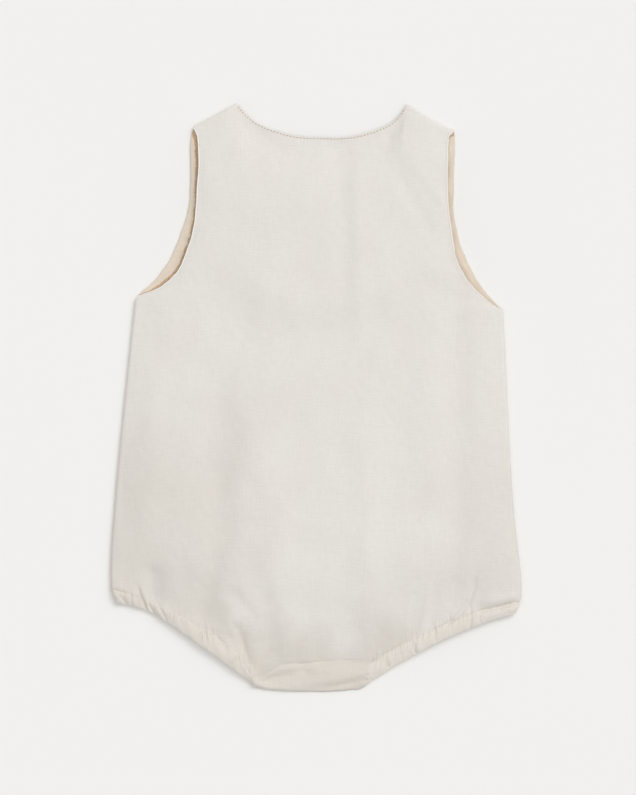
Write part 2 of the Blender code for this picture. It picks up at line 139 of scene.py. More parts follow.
# The back's neck line, from the middle to the neck point: how far across and up
NECK_LINE = (
    (0, 393.1), (15, 393.6), (24, 394.9), (32, 397.2), (40.5, 400.2), (45, 402.3), (49, 404.7),
    (53.2, 408.1), (57.5, 412.6), (60.5, 417),
)

# Each armhole's edge, from the underarm up: how far up and across
ARMHOLE = {
    ("back", -1): (
        (274.5, 130.6), (276.7, 128.5), (281.1, 118), (286.9, 109.3), (291.5, 104.4), (297.9, 99.6),
        (304, 97), (311.8, 94.4), (326.4, 90.6), (340, 89.2), (355.5, 88.7), (383.9, 88.7), (389, 89.2),
        (394.3, 90.6), (396.8, 92), (398.5, 93),
    ),
    ("back", 1): (
        (274.5, 130.6), (276.5, 126.4), (279.9, 120.9), (284.5, 114.9), (290.7, 108.2), (300.1, 101.2),
        (307, 97.5), (318.3, 94.4), (329.8, 92.4), (357.6, 89), (378.5, 88.6), (392, 88.8), (395, 89.2),
        (396.6, 90.2), (398.5, 93),
    ),
    ("front", -1): (
        (274.5, 130.6), (277.3, 129.2), (285.9, 120.5), (296.9, 111.9), (313.1, 103.5), (326.2, 99),
        (340.9, 95), (355.4, 94), (377, 94.3), (392, 94.2), (398.5, 93),
    ),
    ("front", 1): (
        (274.5, 130.6), (280, 125.1), (290.9, 115.3), (302.3, 107.9), (312.1, 102.9), (329.9, 96.7),
        (357.6, 93.8), (378.6, 93.6), (392, 93.5), (398.5, 93),
    ),
}

# The crotch seam's height across the body, from the left casing's end, and its fold's
SEAM_LINE = (
    (-41.4, 12.3), (-40.6, 10.8), (-39.8, 9.6), (-37.5, 9.2), (-29, 13.4), (-20, 18.4), (-6, 20.2),
    (14, 22.3), (30, 23.3), (41.4, 22.2),
)
FOLD_LINE = (
    (-39, 3.2), (-31.7, 1.9), (-20.3, 1.2), (0, 1.2), (18.7, 1.9), (30.1, 3.4), (37, 4.6), (41, 7.2),
)
LEFT_TUCK = 8.2  # how much lower the left casing's stitch line ends at the crotch
LEFT_TUCK_REACH = 0.11  # along this share of the leg

# Folds: from one end to the other, the rise (a trough's is negative) and how far each
# reaches to its side
Fold = namedtuple("Fold", "x0 y0 x1 y1 rise reach")
FOLDS = (
    # On the body
    (10, 402, 20, 285, -1.6, 9), (23, 380, 28, 255, 0.9, 7), (36, 205, 39, 78, 1.8, 13),
    (-68, 215, -66, 100, -2.6, 13), (-69, 98, -77, 48, -2.2, 9), (-30, 150, -22, 60, 1, 14),
    (97, 300, 102, 82, -2.2, 11), (76, 285, 78, 170, 1.2, 12), (59.5, 414.5, 73, 407.5, -0.9, 1.8),
    (42.5, 396.5, 49, 393, -0.4, 1.8), (-30, 290, -12, 300, -0.8, 8), (-112, 240, -118, 110, 0.9, 10),
    (60, 384, 90, 344, 0.9, 6), (52, 370, 79, 326, -0.9, 5), (-5, 112, -4, 88, -1.4, 15),
    (-32, 72, -31, 28, -1.3, 6), (-19, 64, -17, 30, 1, 6), (-57, 66, -56, 42, 1, 6),
    (-100, 92, -97, 62, 0.9, 7), (-126, 66, -108, 52, -1, 4.5), (-58, 70, -36, 50, -1.1, 5),
    (-113, 86, -112, 60, -1.8, 6), (116, 94, 119, 60, -0.7, 6),
    # On and above the left casing
    (-135, 65, -130.5, 59, -0.9, 1.1), (-139.5, 68.5, -136.5, 63.5, 0.5, 1.1),
    (-127.5, 68, -127, 57, -0.6, 0.8), (-130, 67.5, -129.5, 60.5, 0.4, 1.4),
    (-125, 67.5, -124.5, 59.5, 0.5, 1.4), (-123.5, 75, -122, 69, -0.6, 1.8),
    (-122, 70, -119, 62, -1.9, 1.1), (-119, 62, -116, 55, -1.6, 1), (-118, 66, -114.5, 59, 0.6, 1.4),
    (-115, 60.5, -110.5, 52, -1, 1), (-111.5, 59.5, -107, 53, 0.5, 1.3),
    (-107.5, 59, -101.5, 47.5, -0.8, 1), (-104.5, 58, -99, 51, 0.3, 1.3),
    (-95.5, 53, -90.5, 57.5, 0.4, 1.1), (-93, 51.5, -88.5, 55.5, -0.5, 0.9),
    (-84.5, 49, -81, 51, 0.4, 1.1), (-83.5, 46.5, -79.5, 49, -0.4, 0.9), (-76, 42.5, -75.5, 36, 0.5, 0.9),
    (-74, 43, -73.5, 35, -0.6, 0.8), (-72, 43.5, -71.5, 35.5, 0.5, 0.9), (-70, 43, -69, 35, -0.7, 0.8),
    (-68, 42, -67, 35.5, 0.5, 1), (-76, 43, -69.5, 42.5, -0.6, 1.6), (-69.5, 42.5, -64.5, 34.5, -1.2, 2),
    (-64.5, 35, -58, 28.5, -1.3, 2), (-58, 40, -48, 25, -1.3, 4.5), (-68.5, 33, -55, 22.5, 0.25, 3.5),
    (-51, 24, -56, 18, -1, 0.8), (-49, 22.5, -53, 16.5, 0.4, 0.9), (-53, 47, -47.5, 34.5, -1.7, 3.4),
    (-47.5, 34.5, -42, 17, -1.6, 3), (-52.5, 28.5, -51.5, 23.5, 0.4, 0.8),
    (-50.5, 27.5, -50, 22.5, -0.5, 0.6), (-49, 26.5, -48, 20, 0.4, 0.8), (-47, 25, -46, 17.5, -0.5, 0.6),
    (-45.5, 24, -44.5, 15, 0.5, 0.8), (-44, 21.5, -42.5, 12.5, -0.5, 0.6), (-41.5, 16, -38.5, 6, 1, 1.7),
    (-38.5, 6, -29, 2.6, 1.3, 1.6), (-29, 2.6, -14, 2.2, 0.8, 1.6),
    # On and above the right casing
    (73.5, 36, 75.5, 29.5, -1.5, 0.8), (71.5, 35.5, 73, 29.5, 0.4, 1.1), (76, 36.5, 78.5, 31.5, 0.4, 1.2),
    (64.5, 32, 65.5, 25.5, -0.7, 0.8), (53.5, 25.5, 56.5, 19.5, -1.3, 0.9), (55.5, 20, 51, 15, -0.7, 0.8),
    (38.5, 14.5, 47, 13, -0.4, 1), (38.5, 9.5, 45.5, 10.5, -0.4, 1), (40, 12, 45.5, 11.5, 0.4, 0.8),
    (87, 50, 89, 38, -0.9, 1.1), (83.5, 80, 79, 42, 0.7, 2.6), (88.5, 78, 83, 43, -0.8, 3),
    (70, 70, 67, 38, 0.5, 2.6), (104, 84, 99, 64, -0.8, 4.5), (112.5, 65, 113.5, 53, -1, 1.2),
    (113, 54, 112.5, 46, -1, 0.9), (110, 54, 110.5, 47, 0.4, 1.2), (116, 54.5, 116.5, 48, 0.4, 1.2),
    (119, 59, 120.5, 52, -0.8, 0.8), (116, 84, 112.5, 69, -1.3, 1.9), (112.5, 69, 105, 58.5, -1.9, 1.8),
    (105, 58.5, 96, 50.5, -1.6, 1.3), (119.5, 61, 136, 65.5, -1.7, 1.3), (136, 65.5, 149, 69.5, -1.9, 1.3),
    (122, 67.5, 146, 73.5, 2, 2.8), (130, 63.2, 143, 66.8, -0.7, 0.9), (135.5, 63, 142.5, 63.5, 0.4, 1.2),
    (138.5, 61, 144, 60, -0.6, 0.9), (121.5, 58, 143, 62.5, 0.4, 2),
    # At the crotch
    (-21, 19, -0.5, 20.5, -0.6, 1.6), (-0.5, 20.5, 16, 22.5, -0.6, 1.6), (16, 22.5, 42, 23.5, -0.5, 1.8),
    (42, 23.5, 54, 23, -0.6, 1.6), (-35, 3.5, -10, 5, 0.8, 2.4), (-6, 5.5, 42, 15, 0.9, 3.4),
    (8, 2.8, 41, 10.9, -0.8, 2.4), (35, 11.5, 42.5, 13, -0.4, 1.8), (-35, 6.5, -17, 10.5, -2.6, 6),
    (-17, 10.5, 0, 17.5, -2.2, 5), (-24.5, 29, -21, 20, -0.5, 3), (44.5, 19, 52.5, 17, 0.5, 1.2),
    (46.5, 21.5, 52.5, 20.5, 0.4, 0.8),
)

# The folds fade out over these distances from the sides and the top
CALM = {"side": 9.0, "top": 9.0, "top_share": 0.3, "gather": 8.0}
# The cloth's own unevenness: size, squeeze down the body, wavelength and random seed
SWELLS = ((0.5, 0.6, 50, 3), (0.22, 0.8, 21, 4), (0.06, 1.0, 6.5, 6))

# How strong the small gathers are, along each leg from crotch to hip
GATHERS = {
    -1: (
        (0, 0.15), (0.08, 0.3), (0.13, 0.8), (0.18, 0.1), (0.3, 0.1), (0.34, 0.9), (0.41, 0.8),
        (0.45, 0.6), (0.62, 0.6), (0.7, 0.6), (0.9, 0.6), (1, 0.2),
    ),
    1: ((0, 0.9), (0.2, 0.7), (0.35, 0.9), (0.5, 0.9), (0.65, 0.8), (0.76, 0.4), (1, 0.2)),
}
# How deep the valley is along each casing's stitch line
VALLEY = {
    -1: ((0, 0), (0.1, 0.1), (0.2, 0.2), (0.3, 0), (0.7, 0), (0.85, 0.5), (0.94, 1.2), (1, 0.9)),
    1: ((0, 0.4), (0.2, 0.7), (0.28, 0.3), (0.4, 0.3), (0.5, 0.7), (0.7, 0.6), (1, 0.6)),
}
# How much lower a casing's outer edge lies than its stitch line
TILT = {
    -1: (
        (0, 2), (0.16, 0.3), (0.28, 0.4), (0.4, 0.3), (0.5, 1.3), (0.6, 1.7), (0.76, 2.5), (0.86, 2.4),
        (1, 2.1),
    ),
    1: ((0, 2.2), (0.25, 2.4), (0.4, 2), (1, 1.4)),
}
# How much fuller a casing is in its middle
DOME = {
    -1: ((0, 0.5), (0.15, 0.4), (0.26, 0.15), (0.7, 0.05), (0.86, 0.3), (1, 0.4)),
    1: ((0, 0.5), (0.3, 0.4), (1, 0.4)),
}
LEG_LENGTH = math.dist(CROTCH_CORNER, HIP_CORNER)

LINEN = (0.797, 0.765, 0.727)
TAN = (0.79, 0.69, 0.58)
# Painted shadow that the back panel's armhole edge casts on the facing
SHADOW_TAN = (0.6, 0.43, 0.29)
# Painted highlight: the armholes' rolled edges are paler linen, for the bright rim along them
EDGE_HIGHLIGHT_LINEN = (0.88, 0.865, 0.84)
LEFT_EDGE_HIGHLIGHT_LINEN = (0.95, 0.94, 0.92)
THREAD = (0.74, 0.66, 0.55)
TAN_THREAD = (0.56, 0.42, 0.28)
LOOSE_THREAD = (0.85, 0.81, 0.75)
BAND_LINEN = (0.775, 0.732, 0.674)
# Painted shade: the left casing's linen is darker than the right's, for the side away from the light
LEFT_BAND_SHADED_LINEN = (0.736, 0.695, 0.638)
# Painted shade: the crotch bands' linen is darker, for the band sloping away from the light
CROTCH_SHADED_LINEN = (0.722, 0.682, 0.624)
# Painted shade: colours multiplied into the linen above the crotch seam and low down towards the sides
SEAM_SHADE = (0.93, 0.924, 0.905)
HEM_SHADE = (0.908, 0.895, 0.868)
FLOOR = (0.905, 0.898, 0.882)


def lerp(a, b, t):
    return a + (b - a) * t


def smooth(t):
    """An S-shaped step from 0 to 1."""
    t = np.clip(t, 0.0, 1.0)
    return t * t * (3 - 2 * t)


def bell(t):
    """A rounded hump of height 1 at 0."""
    return np.exp(-(t**2))


def matched(u, v):
    """Both as arrays of one shape."""
    return np.broadcast_arrays(np.asarray(u, float), np.asarray(v, float))


def unit(vectors):
    """Each vector at length 1."""
    return vectors / np.maximum(np.linalg.norm(vectors, axis=-1, keepdims=True), 1e-9)


def from_side(side, share):
    """A share of the width, counted from one side."""
    return share if side < 0 else 1 - share


def places_and_values(rows, at):
    """A table's columns, a place kept inside it, and the row before that place."""
    places, values = np.array(rows, float).T
    at = np.clip(at, places[0], places[-1])
    return places, values, at, np.clip(np.searchsorted(places, at) - 1, 0, len(rows) - 2)


def read_table(rows, at):
    """The value at a place in a table of (place, value), eased between rows."""
    places, values, at, k = places_and_values(rows, at)
    return lerp(values[k], values[k + 1], smooth((at - places[k]) / (places[k + 1] - places[k])))


def read_curve(rows, at):
    """The value at a place on a smooth curve through (place, value) rows."""
    places, values, at, k = places_and_values(rows, at)
    slopes = np.gradient(values, places)
    size = places[k + 1] - places[k]
    t = (at - places[k]) / size
    start, end = values[k] + t * size * slopes[k], values[k + 1] - (1 - t) * size * slopes[k + 1]
    return lerp(start, end, smooth(t))


def waves(x, y, wavelength, seed, count=14):
    """Smooth random waves of about one wavelength, mostly within -1 to 1."""
    pick = np.random.default_rng(seed)
    total = 0.0
    for _ in range(count):
        heading, phase = pick.uniform(0, 2 * math.pi, 2)
        number = 2 * math.pi / (wavelength * pick.uniform(0.7, 1.5))
        total = total + np.cos(number * (x * math.cos(heading) + y * math.sin(heading)) + phase)
    return total / math.sqrt(count / 2) / 1.6


# Outlines, in plan


def lay(x, y):
    """Where a point of the symmetric cut lies on the table."""
    hip = HIP_SHIFT * bell((y - HIP_SHIFT_Y) / HIP_SHIFT_REACH)
    share = smooth((y - UNDERARM[1]) / (SHOULDER_TIP[1] - UNDERARM[1]))
    return np.stack(np.broadcast_arrays(x + hip, y + SHOULDER_TILT * x * share), -1)


def leg_line(side, t, across):
    """A point of a leg's casing: t runs from crotch to hip, across from its outer edge (0)
    to its stitch line (1)."""
    left = np.asarray(side) < 0
    outer_x, outer_y = (lerp(CROTCH_CORNER[k], HIP_CORNER[k], t) for k in (0, 1))
    inner_x = lerp(CROTCH_SEAM_HALF, HIP_SEAM[0], t)
    inner_y = lerp(np.where(left, CROTCH_SEAM_Y[-1], CROTCH_SEAM_Y[1]), HIP_SEAM[1], t)
    inner_y = inner_y - np.where(left, LEFT_TUCK * smooth(1 - t / LEFT_TUCK_REACH), 0)
    bow = LEG_SAG * 4 * t * (1 - t)
    bow = bow + np.where(left, 0, RIGHT_TRIM * smooth(1 - t / RIGHT_TRIM_REACH) * (1 - across))
    bow = bow + np.where(left, read_table(EDGE_TRIM[-1], t), read_table(EDGE_TRIM[1], t)) * (1 - across)
    return lay(side * lerp(outer_x, inner_x, across), lerp(outer_y, inner_y, across) + bow)


def side_half_width(y):
    """How far out the side seam lies."""
    return lerp(UNDERARM[0], HIP_FULL[0], np.minimum((UNDERARM[1] - y) / (UNDERARM[1] - HIP_FULL[1]), 1))


def neck_height(cut, x):
    """How far up the neck's edge lies, at a distance from the middle."""
    if cut is BACK_CUT:
        return read_curve(NECK_LINE, x)
    drop, power = FRONT_NECK
    return NECK_POINT[1] - drop * (1 - (x / NECK_POINT[0]) ** power)


def side_line(cut, side, v, across):
    """The side seam and then the armhole, from the casing's stitch line up."""
    v = np.asarray(v, float)
    low_y = lerp(HIP_SEAM[1], UNDERARM[1], v / UNDERARM_V)
    up = (v - UNDERARM_V) / (1 - UNDERARM_V)
    high_y = lerp(UNDERARM[1], SHOULDER_TIP[1], up)
    sewn = v <= UNDERARM_V
    y = np.where(sewn, low_y, high_y)
    half = np.where(sewn, side_half_width(low_y), read_curve(ARMHOLE[(cut.word, side)], high_y))
    y = y + TIP_LIFT[side] * np.clip(up, 0, 1) ** 3
    corner = lay(side * (side_half_width(HIP_SEAM[1]) - WALL / 2), HIP_SEAM[1])
    fit = np.maximum(1 - v / CORNER_FIT_V, 0)[..., None]
    edge = lay(side * (half - WALL / 2), y) + (leg_line(side, 1.0, across) - corner) * fit
    if side < 0:
        size, height, reach = LEFT_BULGE
        edge[..., 0] -= size * bell((y - height) / reach)
    return edge


def top_line(cut, u):
    """Left shoulder, neck and right shoulder, from left to right."""
    left = u < 0.5
    side = np.where(left, -1.0, 1.0)
    inward = np.minimum(u, 1 - u)
    reach = np.clip(inward / cut.shoulder_share, 0, 1)
    x = lerp(SHOULDER_TIP[0] - WALL / 2, NECK_POINT[0], reach)
    sag = np.where(left, SHOULDER_SAG, SHOULDER_SAG + RIGHT_SAG)
    y = lerp(SHOULDER_TIP[1], NECK_POINT[1], reach) - sag * 4 * reach * (1 - reach)
    tip_lift = np.where(left, TIP_LIFT[-1], TIP_LIFT[1])
    neck_down = np.where(left, NECK_DOWN[-1], NECK_DOWN[1])
    shoulder = lay(side * x + NECK_SHIFT * reach, y + lerp(tip_lift, -neck_down, reach))
    x = NECK_POINT[0] * (1 - np.clip((inward - cut.shoulder_share) / (0.5 - cut.shoulder_share), 0, 1))
    at_point = (NECK_POINT[1] - neck_down - neck_height(cut, NECK_POINT[0])) * (x / NECK_POINT[0]) ** 8
    lean = NECK_LEAN * (1 - (x / NECK_POINT[0]) ** 6)
    neck = lay(side * x + NECK_SHIFT + lean, neck_height(cut, x) + at_point)
    return np.where((inward < cut.shoulder_share)[..., None], shoulder, neck)


def bottom_line(cut, u, across):
    """Left leg, crotch seam and right leg, from left to right."""
    side = np.where(u < 0.5, -1.0, 1.0)
    inward = np.minimum(u, 1 - u)
    on_leg = leg_line(side, np.clip(1 - inward / cut.leg_share, 0, 1), across)
    s = np.clip((u - cut.leg_share) / (1 - 2 * cut.leg_share), 0, 1)
    reach = lerp(across, 1.0, smooth(np.minimum(s, 1 - s) / 0.03))
    middle = lerp(leg_line(-1, 0.0, reach), leg_line(1, 0.0, reach), s[..., None])
    x = lerp(SEAM_LINE[0][0], SEAM_LINE[-1][0], s)
    straight = lerp(SEAM_LINE[0][1], SEAM_LINE[-1][1], s)
    middle = middle + np.stack((0 * s, read_curve(SEAM_LINE, x) - straight), -1)
    return np.where((inward < cut.leg_share)[..., None], on_leg, middle)


def panel_plan(cut, u, v, across):
    """A point of the patch inside a panel's four edges. Close to the shoulders the sides' own
    bends stay near the sides, so that the cloth beside the neck doesn't fold over itself."""
    u, v = matched(u, v)
    left, right = side_line(cut, -1, v, across), side_line(cut, 1, v, across)
    low, high = bottom_line(cut, u, across), top_line(cut, u)
    ends = np.array([0.0, 1.0])
    (a, b), (c, d) = bottom_line(cut, ends, across), top_line(cut, ends)
    u, v = u[..., None], v[..., None]
    power = 1 + SIDE_SWAY_POWER * smooth((v - SIDE_SWAY_V) / (1 - SIDE_SWAY_V))
    from_left = (1 - u) ** power * (left - lerp(a, c, v))
    from_right = u**power * (right - lerp(b, d, v))
    return lerp(low, high, v) + from_left + from_right


# Heights


def quarter_turn(distance, sewn):
    """How far a sheet has turned down at a distance from its edge, where that is sewn (1)."""
    reach = 1 - distance / CURL - (1 - sewn)
    return 1 - np.sqrt(1 - np.clip(reach, 0, 1) ** 2)


def seam_turn(cut, u, v):
    """How far a point has turned over the side seam or the shoulder seam."""
    inward = np.minimum(u, 1 - u)
    above = (v - UNDERARM_V) / (1 - UNDERARM_V) * (SHOULDER_TIP[1] - UNDERARM[1])
    slant = lerp(1, ARMHOLE_SLANT, smooth(above / ARMHOLE_GAPE_FADE * 4))
    side = quarter_turn(inward * MEAN_WIDTH * slant, 1 - smooth(above / ARMHOLE_GAPE_FADE))
    past_neck = (inward - cut.shoulder_share) * MEAN_WIDTH
    top = quarter_turn((1 - v) * MEAN_LENGTH, 1 - smooth(past_neck / NECK_GAPE_FADE))
    return 1 - (1 - side) * (1 - top)


def leg_height(side, t):
    return lerp(LEG_Z["crotch"], LEG_Z["hip"], t) + LEG_ARCH[side] * np.sin(math.pi * t)


FOLD_FADE = 0.22  # a long fold fades over this share of its length


def fold_height(folds, x, y):
    """The folds' sum: each has a rounded section and fades out at its ends."""
    x, y = matched(x, y)
    height = np.zeros(x.shape)
    for fold in folds:
        pad = 3 * fold.reach + FOLD_FADE * math.hypot(fold.x1 - fold.x0, fold.y1 - fold.y0)
        near = (x > min(fold.x0, fold.x1) - pad) & (x < max(fold.x0, fold.x1) + pad)
        near &= (y > min(fold.y0, fold.y1) - pad) & (y < max(fold.y0, fold.y1) + pad)
        if not near.any():
            continue
        run_x, run_y = fold.x1 - fold.x0, fold.y1 - fold.y0
        length = math.hypot(run_x, run_y)
        dx, dy = x[near] - fold.x0, y[near] - fold.y0
        t = (dx * run_x + dy * run_y) / length**2
        away = (dx * run_y - dy * run_x) / length / fold.reach
        from_end = np.minimum(t, 1 - t) * length / max(fold.reach, FOLD_FADE * length)
        height[near] += fold.rise * smooth((from_end + 1) / 2) * bell(away)
    return height


def gathers(side):
    """Small gathers at random places along a leg's stitch line, each a trough and a ridge."""
    pick = np.random.default_rng(21 if side < 0 else 34)
    place, folds = 0.01, []
    while place < 0.97:
        place += pick.uniform(1.5, 3.2) / LEG_LENGTH
        strength = float(read_table(GATHERS[side], place)) * pick.uniform(0.3, 0.95)
        x, y = leg_line(side, place, 1.0)
        lean = pick.uniform(-0.22, 0.14)
        below, above = pick.uniform(2.0, 6.5), pick.uniform(1.5, 7.0) * (0.5 + 0.5 * strength)
        shift_x = pick.uniform(0.9, 1.5)
        for offset, rise in ((0.0, -0.5), (shift_x, 0.35)):
            ends = (x + offset - lean * below, y - below, x + offset + lean * above, y + above)
            folds.append(Fold(*map(float, ends), rise * strength, pick.uniform(0.55, 0.85)))
    return folds


ALL_FOLDS = [Fold(*row) for row in FOLDS] + gathers(-1) + gathers(1)
BACK_ACROSS = 0.92  # the back panel's edge tucks under the casing's
FRONT_ACROSS = 1.04  # and the front's lies just above the stitch line
# Beside a casing: how much higher the cloth lies, its valley, and its ripples
EDGE_LIFT, EDGE_REACH = 0.45, 4
VALLEY_START, VALLEY_REACH = 0.6, 1.1
RIPPLE_HEIGHT, RIPPLE_PITCH, RIPPLE_REACH = 0.16, 1.7, 2.8
# The crotch seam's height comes in over these distances, across and up
SEAM_RAMP, SEAM_FADE = 12, 30
LEFT_RISE, LEFT_RISE_REACH = 0.6, 14  # how much higher its left half lies


def relief(x, y):
    """Every fold that runs over the back panel, the casings and the crotch band."""
    return fold_height(ALL_FOLDS, x, y)


def stitch_ripple(side, t, away):
    """Fine ripples where gathered cloth meets the stitch line, at a distance from it."""
    place = t * LEG_LENGTH
    phase = 2 * math.pi * place / RIPPLE_PITCH
    phase = phase + 2.2 * np.sin(place / 3.1 + side) + 1.3 * np.sin(place / 7.7)
    size = RIPPLE_HEIGHT * (0.55 + 0.45 * np.sin(place / 4.3 + 2 * side)) * bell(away / RIPPLE_REACH)
    return size * np.cos(phase) * read_table(GATHERS[-1 if side < 0 else 1], t)


def casing_top(side, t, place):
    """The height of a casing's upper skin over its middle, from its outer edge (0) to its
    stitch line (1)."""
    wide = np.clip(2 * place - 1, -1, 1)
    tall = (1 - np.abs(wide) ** 3.2) ** 0.4
    dome = (read_table(DOME[side], t) + 0.2 * np.sin(t * 61 + side)) * (1 - wide**2)
    return tall * CASING_HALF, dome - read_table(TILT[side], t) * (1 - place) ** 1.3


def left_of_crotch(x):
    """How much higher the cloth lies left of the crotch's middle."""
    return LEFT_RISE * smooth((2 - x) / 22)


def back_surface(u, v):
    """The back panel's middle surface."""
    u, v = matched(u, v)
    plan = panel_plan(BACK_CUT, u, v, BACK_ACROSS)
    x, y = plan[..., 0], plan[..., 1]
    inward = np.minimum(u, 1 - u)
    t = np.maximum(1 - inward / BACK_CUT.leg_share, 0)
    shoulder = BACK_CUT.shoulder_share
    above_leg, below_top = v * MEAN_LENGTH, (1 - v) * MEAN_LENGTH

    edge = read_table(BACK_EDGE, side_line(BACK_CUT, 1, v, BACK_ACROSS)[..., 1])
    low = lerp(LEG_Z["crotch"], LEG_Z["hip"], t)
    from_neck = (inward - shoulder) / (0.5 - shoulder)
    past_neck = np.maximum(from_neck, 0)
    high = BACK_EDGE[-1][1] + NECK_RISE * (1 - (1 - past_neck) ** 2)
    z = lerp(low, high, v) + edge - lerp(BACK_EDGE[0][1], BACK_EDGE[-1][1], v)
    droop = smooth((from_neck + DROOP_START) * DROOP_RATE) * smooth(1 - below_top / DROOP_REACH)
    z = z - NECK_DROOP * droop
    arch = np.where(u < 0.5, LEG_ARCH[-1], LEG_ARCH[1])
    z = z + arch * np.sin(math.pi * t) * (1 - smooth(above_leg / LEG_ARCH_FADE))

    swell = read_table(BACK_CROWN, y) * smooth(above_leg / CROWN_RAMP)
    z = z + swell * (1 - (1 - 2 * inward) ** CROWN_POWER)

    calm = smooth(inward * MEAN_WIDTH / CALM["side"])
    calm = calm * smooth(CALM["top_share"] + below_top / CALM["top"])
    z = z + relief(x, y) * calm
    for size, squeeze, wavelength, seed in SWELLS:
        z = z + size * waves(x, y * squeeze, wavelength, seed) * calm

    on_leg = inward < BACK_CUT.leg_share
    for side in (-1, 1):
        here = on_leg & (u < 0.5) if side < 0 else on_leg & (u >= 0.5)
        calm_hip = smooth(inward * MEAN_WIDTH / CALM["gather"]) * here
        z = z + (stitch_ripple(side, t, above_leg) + EDGE_LIFT * bell(above_leg / EDGE_REACH)) * calm_hip
        z = z - read_table(VALLEY[side], t) * bell((above_leg - VALLEY_START) / VALLEY_REACH) * here
    at_seam = smooth((inward - BACK_CUT.leg_share) * MEAN_WIDTH / SEAM_RAMP)
    z = z + (SEAM_HEIGHT - LEG_Z["crotch"]) * at_seam * (1 - smooth(above_leg / SEAM_FADE))
    z = z + left_of_crotch(x) * at_seam * bell(above_leg / LEFT_RISE_REACH)
    z = z - SEAM_VALLEY[0] * bell(above_leg / SEAM_VALLEY[1]) * at_seam
    z = z - SEAM_DIP[0] * np.exp(-above_leg / SEAM_DIP[1]) * at_seam
    meeting = SEAM_Z + TURN_GAP / 2
    return np.stack((x, y, lerp(z, meeting, seam_turn(BACK_CUT, u, v))), -1)


def front_surface(u, v):
    """The front panel's middle surface, flat on the ground but for its turned seams."""
    u, v = matched(u, v)
    plan = panel_plan(FRONT_CUT, u, v, FRONT_ACROSS)
    x, y = plan[..., 0], plan[..., 1]
    lift = 0.12 * (1 + waves(x, y, 30, 9)) * smooth(np.minimum(u, 1 - u) * 20) * smooth(v * 20)
    z = lerp(FRONT_Z + np.clip(lift, 0, 0.4), SEAM_Z - TURN_GAP / 2, seam_turn(FRONT_CUT, u, v))
    return np.stack((x, y, z), -1)


# Meshes


def shift():
    """From garment millimetres to metres in the part's frame, by the front crotch band's corner."""
    low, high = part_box("crotch_band_front")
    corner = leg_line(1, 0.0, 1.0)
    return np.array([high.x / MM - (corner[0] - CROTCH_END_GAP), high.y / MM - corner[1], low.z / MM])


ORIGIN = shift()


def add_object(name, data):
    made = bpy.data.objects.new(name, data)
    bpy.context.scene.collection.objects.link(made)
    return made


def add_mesh(name, points, faces, material):
    mesh = bpy.data.meshes.new(name)
    mesh.from_pydata(((np.asarray(points) + ORIGIN) * MM).tolist(), [], faces)
    mesh.validate()
    mesh.shade_smooth()
    mesh.materials.append(material)
    made = add_object(name, mesh)
    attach(made, "root")
    return made


def upright(point, u, v):
    """The direction square to a sheet, on its upper side."""
    step_u, step_v = 0.05 / MEAN_WIDTH, 0.05 / MEAN_LENGTH
    across = point(np.minimum(u + step_u, 1), v) - point(np.maximum(u - step_u, 0), v)
    along = point(u, np.minimum(v + step_v, 1)) - point(u, np.maximum(v - step_v, 0))
    return unit(np.cross(across, along))


def cells(low_places, low_start, high_places, high_start):
    """Faces between two rows; where the lower row has a middle point, three triangles."""
    faces, k = [], 0
    for j in range(len(high_places) - 1):
        a, b = high_start + j, high_start + j + 1
        under = [low_start + k]
        while low_places[k] < high_places[j + 1] - 1e-9:
            k += 1
            under.append(low_start + k)
        if len(under) == 2:
            faces.append((under[0], under[1], b, a))
        else:
            faces += [(under[0], under[1], a), (under[1], b, a), (under[1], under[2], b)]
    return faces


def add_shell(name, surface, rows, thickness, material):
    """A closed sheet with rounded edges, through rows of (v, places)."""
    middle, normal, starts = [], [], []
    for v, places in rows:
        starts.append(sum(len(row) for row in middle))
        middle.append(surface(places, v))
        normal.append(upright(surface, places, v))
    middle, normal = np.concatenate(middle), np.concatenate(normal)
    count = len(middle)
    half = thickness / 2
    top, bottom = middle + normal * half, middle - normal * half
    faces = []
    for (_, low), (_, high), a, b in zip(rows, rows[1:], starts, starts[1:]):
        made = cells(low, a, high, b)
        faces += made
        faces += [tuple(count + k for k in reversed(face)) for face in made]
    ends = [start + len(places) - 1 for (_, places), start in zip(rows, starts)]
    loop = list(range(starts[0], ends[0] + 1)) + ends[1:-1]
    loop += list(range(ends[-1], starts[-1] - 1, -1)) + starts[-2:0:-1]
    edge = middle[loop]
    run = np.roll(edge, -1, 0) - np.roll(edge, 1, 0)
    rim = edge + unit(np.cross(run, normal[loop])) * SHELL_RIM
    first = 2 * count
    for k in range(len(loop)):
        j = (k + 1) % len(loop)
        faces.append((loop[j], loop[k], first + k, first + j))
        faces.append((first + j, first + k, count + loop[k], count + loop[j]))
    return add_mesh(name, np.concatenate((top, bottom, rim)), faces, material)


EDGE_STEPS = (0.15, 0.45, 0.9, 1.5, 2.3, 3.4)  # from an edge to the fine rows beside it
LEG_STEPS = (0, 0.4, 0.9, 1.5, 2.2)  # the same above a casing


def spaced(stops, counts):
    """Places from the first stop to the last, evenly spaced between stops."""
    places = [stops[0]]
    for a, b, count in zip(stops, stops[1:], counts):
        places += [a + (b - a) * k / count for k in range(1, count + 1)]
    return places


def with_edges(places, size):
    """Places with finer ones beside both ends."""
    near = [step / size for step in EDGE_STEPS]
    inner = [place for place in places if near[-1] * 1.3 < place < 1 - near[-1] * 1.3]
    return [0.0] + near + inner + [1 - step for step in reversed(near)] + [1.0]


def doubled(places):
    """The same places, with one more between each pair away from the edges."""
    made, near = [], len(EDGE_STEPS)
    for k, (a, b) in enumerate(zip(places, places[1:])):
        made.append(a)
        if near < k < len(places) - 2 - near:
            made.append((a + b) / 2)
    return made + [places[-1]]


def row_places(cut, counts):
    """Places across a panel, with one at each corner of its outline."""
    shoulder, leg = cut.shoulder_share, cut.leg_share
    return with_edges(spaced([0, shoulder, leg, 1 - leg, 1 - shoulder, 1], counts), MEAN_WIDTH)


